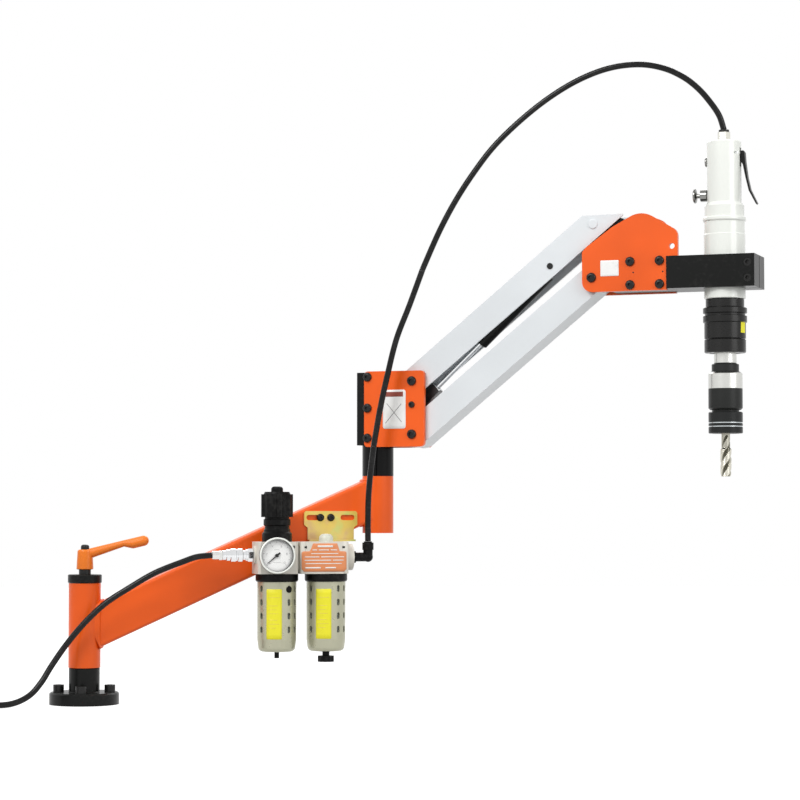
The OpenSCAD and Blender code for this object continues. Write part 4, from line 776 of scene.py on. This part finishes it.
def corner_fill(left):
    """Points and faces of an upright prism that squares a cut corner of the casting: its plan is
    a quarter round joined to the two ends of the cut by a thin skin, and its lowest and highest
    rows are drawn in a little to its middle."""
    turn = np.radians(np.linspace(180, 270, 7))
    side = -1 if left else 1
    x0 = LUB_LEFT if left else LUB_RIGHT
    r, cut, skin = CORNER_ROUND, CORNER_CUT, CORNER_SKIN
    arc = np.stack([x0 - side * (r + r * np.cos(turn)), r - GAUGE_V + r * np.sin(turn)], 1)
    plan = np.vstack([[[x0 - side * 0.2, cut - GAUGE_V]], arc, [[x0 - side * cut, 0.02 - GAUGE_V]],
                      [[x0 - side * cut, skin - GAUGE_V]], [[x0 - side * skin, cut - GAUGE_V]]])
    heights = np.array([UNIT_Z + 0.1, UNIT_Z + 0.7, UNIT_TOP - 0.7, UNIT_TOP - 0.1])
    inset = np.array([0.4, 0.0, 0.0, 0.4])[:, None, None]
    middle = plan.mean(0)
    rows = plan + (middle - plan) * inset / 5
    verts = on_arm(np.concatenate([rows, np.broadcast_to(heights[:, None, None],
                                                         (4, len(plan), 1))], -1).reshape(-1, 3))
    n = len(plan)
    faces = [tuple(q) for q in grid_faces(4, n, closed_columns=True)]
    faces += [tuple(range(n - 1, -1, -1)), tuple(3 * n + k for k in range(n))]
    if not left:
        faces = [face[::-1] for face in faces]
    return verts, faces


gathered("lubricator_corners", [corner_fill(True), corner_fill(False)], zinc, "zinc_casting",
         "lower_arm")
decal("lubricator_plaque", PLAQUE, facing(on_arm, PLAQUE_U, -GAUGE_V, PLAQUE_Z), plaque,
      "orange_enamel", "lower_arm", thick=PLAQUE_THICK)
RULES = [(-11, 15, 18.5, 3.0), (-20, -12, 12.5, 1.4), (-9, 8, 12.5, 1.4), (11, 22, 12.5, 1.4),
         (-22, 24, 6.5, 1.2), (-33, -8, 1.0, 1.4), (-5, 34, 1.0, 1.4), (-33, 12, -4.5, 1.4),
         (15, 33, -4.5, 1.4), (-32, 30, -10, 1.2), (-32, -6, -17, 2.2), (2, 20, -17, 2.2)]
gathered("lubricator_plaque_lines", [bar(x0, z, x1, z, width, plaque_face, 0.12)
                                     for x0, x1, z, width in RULES],
         white, "pale_enamel", "lower_arm")
SCREW_R, SCREW_Z, SCREW_SEAT = 2.9, 259, 5
SCREWS = ((282, 4.4), (333.3, 4.2), (352.8, 5.5), (418.5, 5.5))
gathered("body_screws_front",
         [plate(disc(SCREW_R, 24), facing(on_arm, u, SCREW_SEAT - GAUGE_V, SCREW_Z), thick=high,
                rings=2) for u, high in SCREWS],
         dark, "blackened_steel", "lower_arm")

# Gauge dial

DIGITS = {"0": [(0, 0), (2, 0), (2, 4), (0, 4), (0, 0)],
          "1": [(1, 0), (1, 4)],
          "2": [(0, 4), (2, 4), (2, 2), (0, 2), (0, 0), (2, 0)],
          "4": [(0, 4), (0, 2), (2, 2), (2, 4), (2, 0)],
          "6": [(2, 4), (0, 4), (0, 0), (2, 0), (2, 2), (0, 2)],
          "8": [(0, 2), (0, 4), (2, 4), (2, 0), (0, 0), (0, 2), (2, 2)]}
DIAL_OUT, DIAL_R, DIAL_THICK = GAUGE_V + 21, 26.8, 0.4
DIAL_STEPS, DIAL_FIRST, DIAL_SWEEP = 50, -135, 270
MARK_OUT, LONG_MARK, SHORT_MARK, FIGURE_R, FIGURE_GRID = 24.0, 20.8, 22.6, 17.0, 0.8
THICK_LINE, THIN_LINE, TEXT_LINE, STROKE = 0.4, 0.2, 0.35, 0.3
on_dial = facing(on_arm, GAUGE_U, -DIAL_OUT - DIAL_THICK, PORT_Z)


def figure(text, x, z, size):
    """Points and faces of a number's strokes, centred on a point: each stroke joins two corners
    of a two by four grid."""
    shift = x - size * (3 * len(text) - 1) / 2
    return [bar(shift + (3 * k + a[0]) * size, z + (a[1] - 2) * size,
                shift + (3 * k + b[0]) * size, z + (b[1] - 2) * size, STROKE, on_dial)
            for k, sign in enumerate(text) for a, b in zip(DIGITS[sign], DIGITS[sign][1:])]


decal("gauge_dial", disc(DIAL_R, 72), facing(on_arm, GAUGE_U, -DIAL_OUT, PORT_Z), dial_white,
      "pale_enamel", "lower_arm", thick=DIAL_THICK)
marks = []
for step in range(DIAL_STEPS + 1):
    turn = math.radians(DIAL_FIRST + DIAL_SWEEP / DIAL_STEPS * step)
    across, up = math.sin(turn), math.cos(turn)
    inner, width = (SHORT_MARK, THIN_LINE) if step % 5 else (LONG_MARK, THICK_LINE)
    marks.append(bar(inner * across, inner * up, MARK_OUT * across, MARK_OUT * up, width, on_dial))
    if step % 10 == 0:
        marks += figure(str(step // 5), FIGURE_R * across, FIGURE_R * up, FIGURE_GRID)
marks += [bar(-7, -11, 7, -11, TEXT_LINE, on_dial), bar(-4.5, 9.5, 4.5, 9.5, TEXT_LINE, on_dial)]
gathered("gauge_marks", marks, grey, "black_plastic", "lower_arm")


def from_dial(along, across, up):
    """Points in front of the dial, across and up from the gauge's axis, on the machine."""
    return on_arm(np.stack([GAUGE_U + across, -DIAL_OUT - along, PORT_Z + up], -1))


BEZEL = [(4.5, 29.52), (4.5, 29.85), (7.2, 29.85), (8.0, 29.3), (8.25, 28.2), (8.0, 27.2),
         (7.3, 26.85), (7.02, 26.85), (7.02, 28.4), (6.2, 29.52)]
piece("gauge_bezel", *spun(BEZEL, from_dial, 96, True), motor_white, "pale_enamel", "lower_arm")

# Small fittings

LINK_HALF, CAP_Z = 28.0, HEAD_PIVOT[1] + 90
LEVER_X, LEVER_Z, PLUG_UP = TOOL_X + 22, 902.633, 890.5


def behind_link(across, out, up):
    """Lays a cap on the back of the upper link, where across runs the other way."""
    return on_head(np.stack([HEAD_PIVOT[0] - across, LINK_HALF + out, CAP_Z + up], -1))


def through_lever(along, across, up):
    """Points along, across and up from the throttle lever's axis, which runs away from the
    camera."""
    return on_head(np.stack([LEVER_X + across, along, LEVER_Z + up], -1))


def left_of_motor(along, across, up):
    """Points out to the left of the motor's axis, away from the camera and up."""
    return on_head(np.stack([TOOL_X - along, across, PLUG_UP + up], -1))


for cap, lay in (("link_cap_front", facing(on_head, HEAD_PIVOT[0], -LINK_HALF, CAP_Z)),
                 ("link_cap_rear", behind_link)):
    decal(cap, disc(8.2, 48), lay, pale, "pale_enamel", "upper_link", thick=1.4)

PIN = [(-13.6, 1.6), (-13.4, 3.4), (-12.6, 4.2), (-11.6, 4.2), (-11.5, 2.0), (12.2, 2.0),
       (12.6, 1.6)]
PLUG = [(26.0, 7.6), (29.6, 8.0), (30.6, 7.6), (31.0, 6.6), (31.0, 3.2), (29.6, 3.0)]
piece("lever_pin", *spun(PIN, through_lever, 40), chrome, "chrome", "head")
piece("side_plug", *spun(PLUG, left_of_motor, 48), dark_chrome, "chrome", "head")

# Spiral tap

TAP_LOW, TAP_R, FLUTED, PITCH, FLUTES, LEAD = 375.33, 9.5, 70.0, 2.0, 3, 72.0
NOSE_LONG, NOSE_DEEP, THREADED, THREAD_DEEP, NECK_DEEP, RUNOUT = 7.0, 1.7, 44, 0.85, 2.5, 3
LAND, FLUTE_DEPTH = 0.45, 5.2
TIP = (4.2, -0.02)
SHANK = ((7.0, FLUTED + 0.2), (7.0, 99.5), (5.5, 100.0))


def tap_surface(around=132, along=180):
    """The tap's skin on a grid of turn and height: the radius is the lesser of the thread, a
    triangle wave of height over the pitch less the turn, and the flute, a half sine within a
    share of each third of the turn, which winds once round in the lead; the nose narrows, and
    above the thread is a thinner neck. Rows of one radius close the tip and make the shank."""
    h = np.linspace(0, FLUTED, along)[:, None]
    turn = np.linspace(0, 2 * math.pi, around, endpoint=False)[None, :]
    wave = np.abs(((h / PITCH - turn / (2 * math.pi)) % 1.0) * 2 - 1)
    nose = TAP_R - NOSE_DEEP * np.clip(1 - h / NOSE_LONG, 0, 1)
    thread = (nose - THREAD_DEEP * wave * np.clip((THREADED - h) / RUNOUT, 0, 1)
              - NECK_DEEP * np.clip((h - THREADED) / RUNOUT, 0, 1))
    phase = ((turn / (2 * math.pi) - h / LEAD) * FLUTES) % 1.0
    cut = np.clip((phase - LAND) / (1 - LAND), 0, 1)
    runout = np.clip((FLUTED - 1 - h) / RUNOUT, 0, 1)
    radius = np.minimum(thread, TAP_R - FLUTE_DEPTH * np.sin(math.pi * cut) * runout)
    rings = np.stack([radius * np.cos(turn), radius * np.sin(turn),
                      TAP_LOW + np.broadcast_to(h, radius.shape)], -1)
    tip, *shank = [np.stack([r * np.cos(turn[0]), r * np.sin(turn[0]),
                             np.full(around, TAP_LOW + z)], -1)[None] for r, z in (TIP, *SHANK)]
    rows = np.vstack([tip, rings, *shank])
    n = len(rows)
    faces = [tuple(q) for q in grid_faces(n, around, closed_columns=True)]
    faces += [tuple(range(around - 1, -1, -1)), tuple((n - 1) * around + k for k in range(around))]
    return on_head(rows.reshape(-1, 3) + [TOOL_X, 0, 0]), faces


tap = piece("spiral_tap", *tap_surface(), coated, "coated_tool_steel", "tap_holder")
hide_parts("tap")

# Floor

FLOOR = [(-6, -5, 0), (7, -5, 0), (7, 6, 0), (-6, 6, 0)]
FLOOR_GREY, FLOOR_GLOW = 0.30, 0.78

floor_finish = Finish("studio_floor", (FLOOR_GREY,) * 3, 0.9)
floor = piece("floor", FLOOR, [(0, 1, 2, 3)], floor_finish, "pale_enamel", None)
glow = floor_finish.tree.nodes.new("ShaderNodeEmission")
glow.inputs["Strength"].default_value = FLOOR_GLOW
lifted = floor_finish.tree.nodes.new("ShaderNodeAddShader")
paint = floor_finish.shader.outputs[0]
floor_finish.tree.links.new(paint, lifted.inputs[0])
floor_finish.tree.links.new(glow.outputs[0], lifted.inputs[1])
floor_finish.tree.links.new(seen_white(floor_finish.tree, paint, lifted.outputs[0]),
                            floor_finish.tree.nodes["Material Output"].inputs["Surface"])
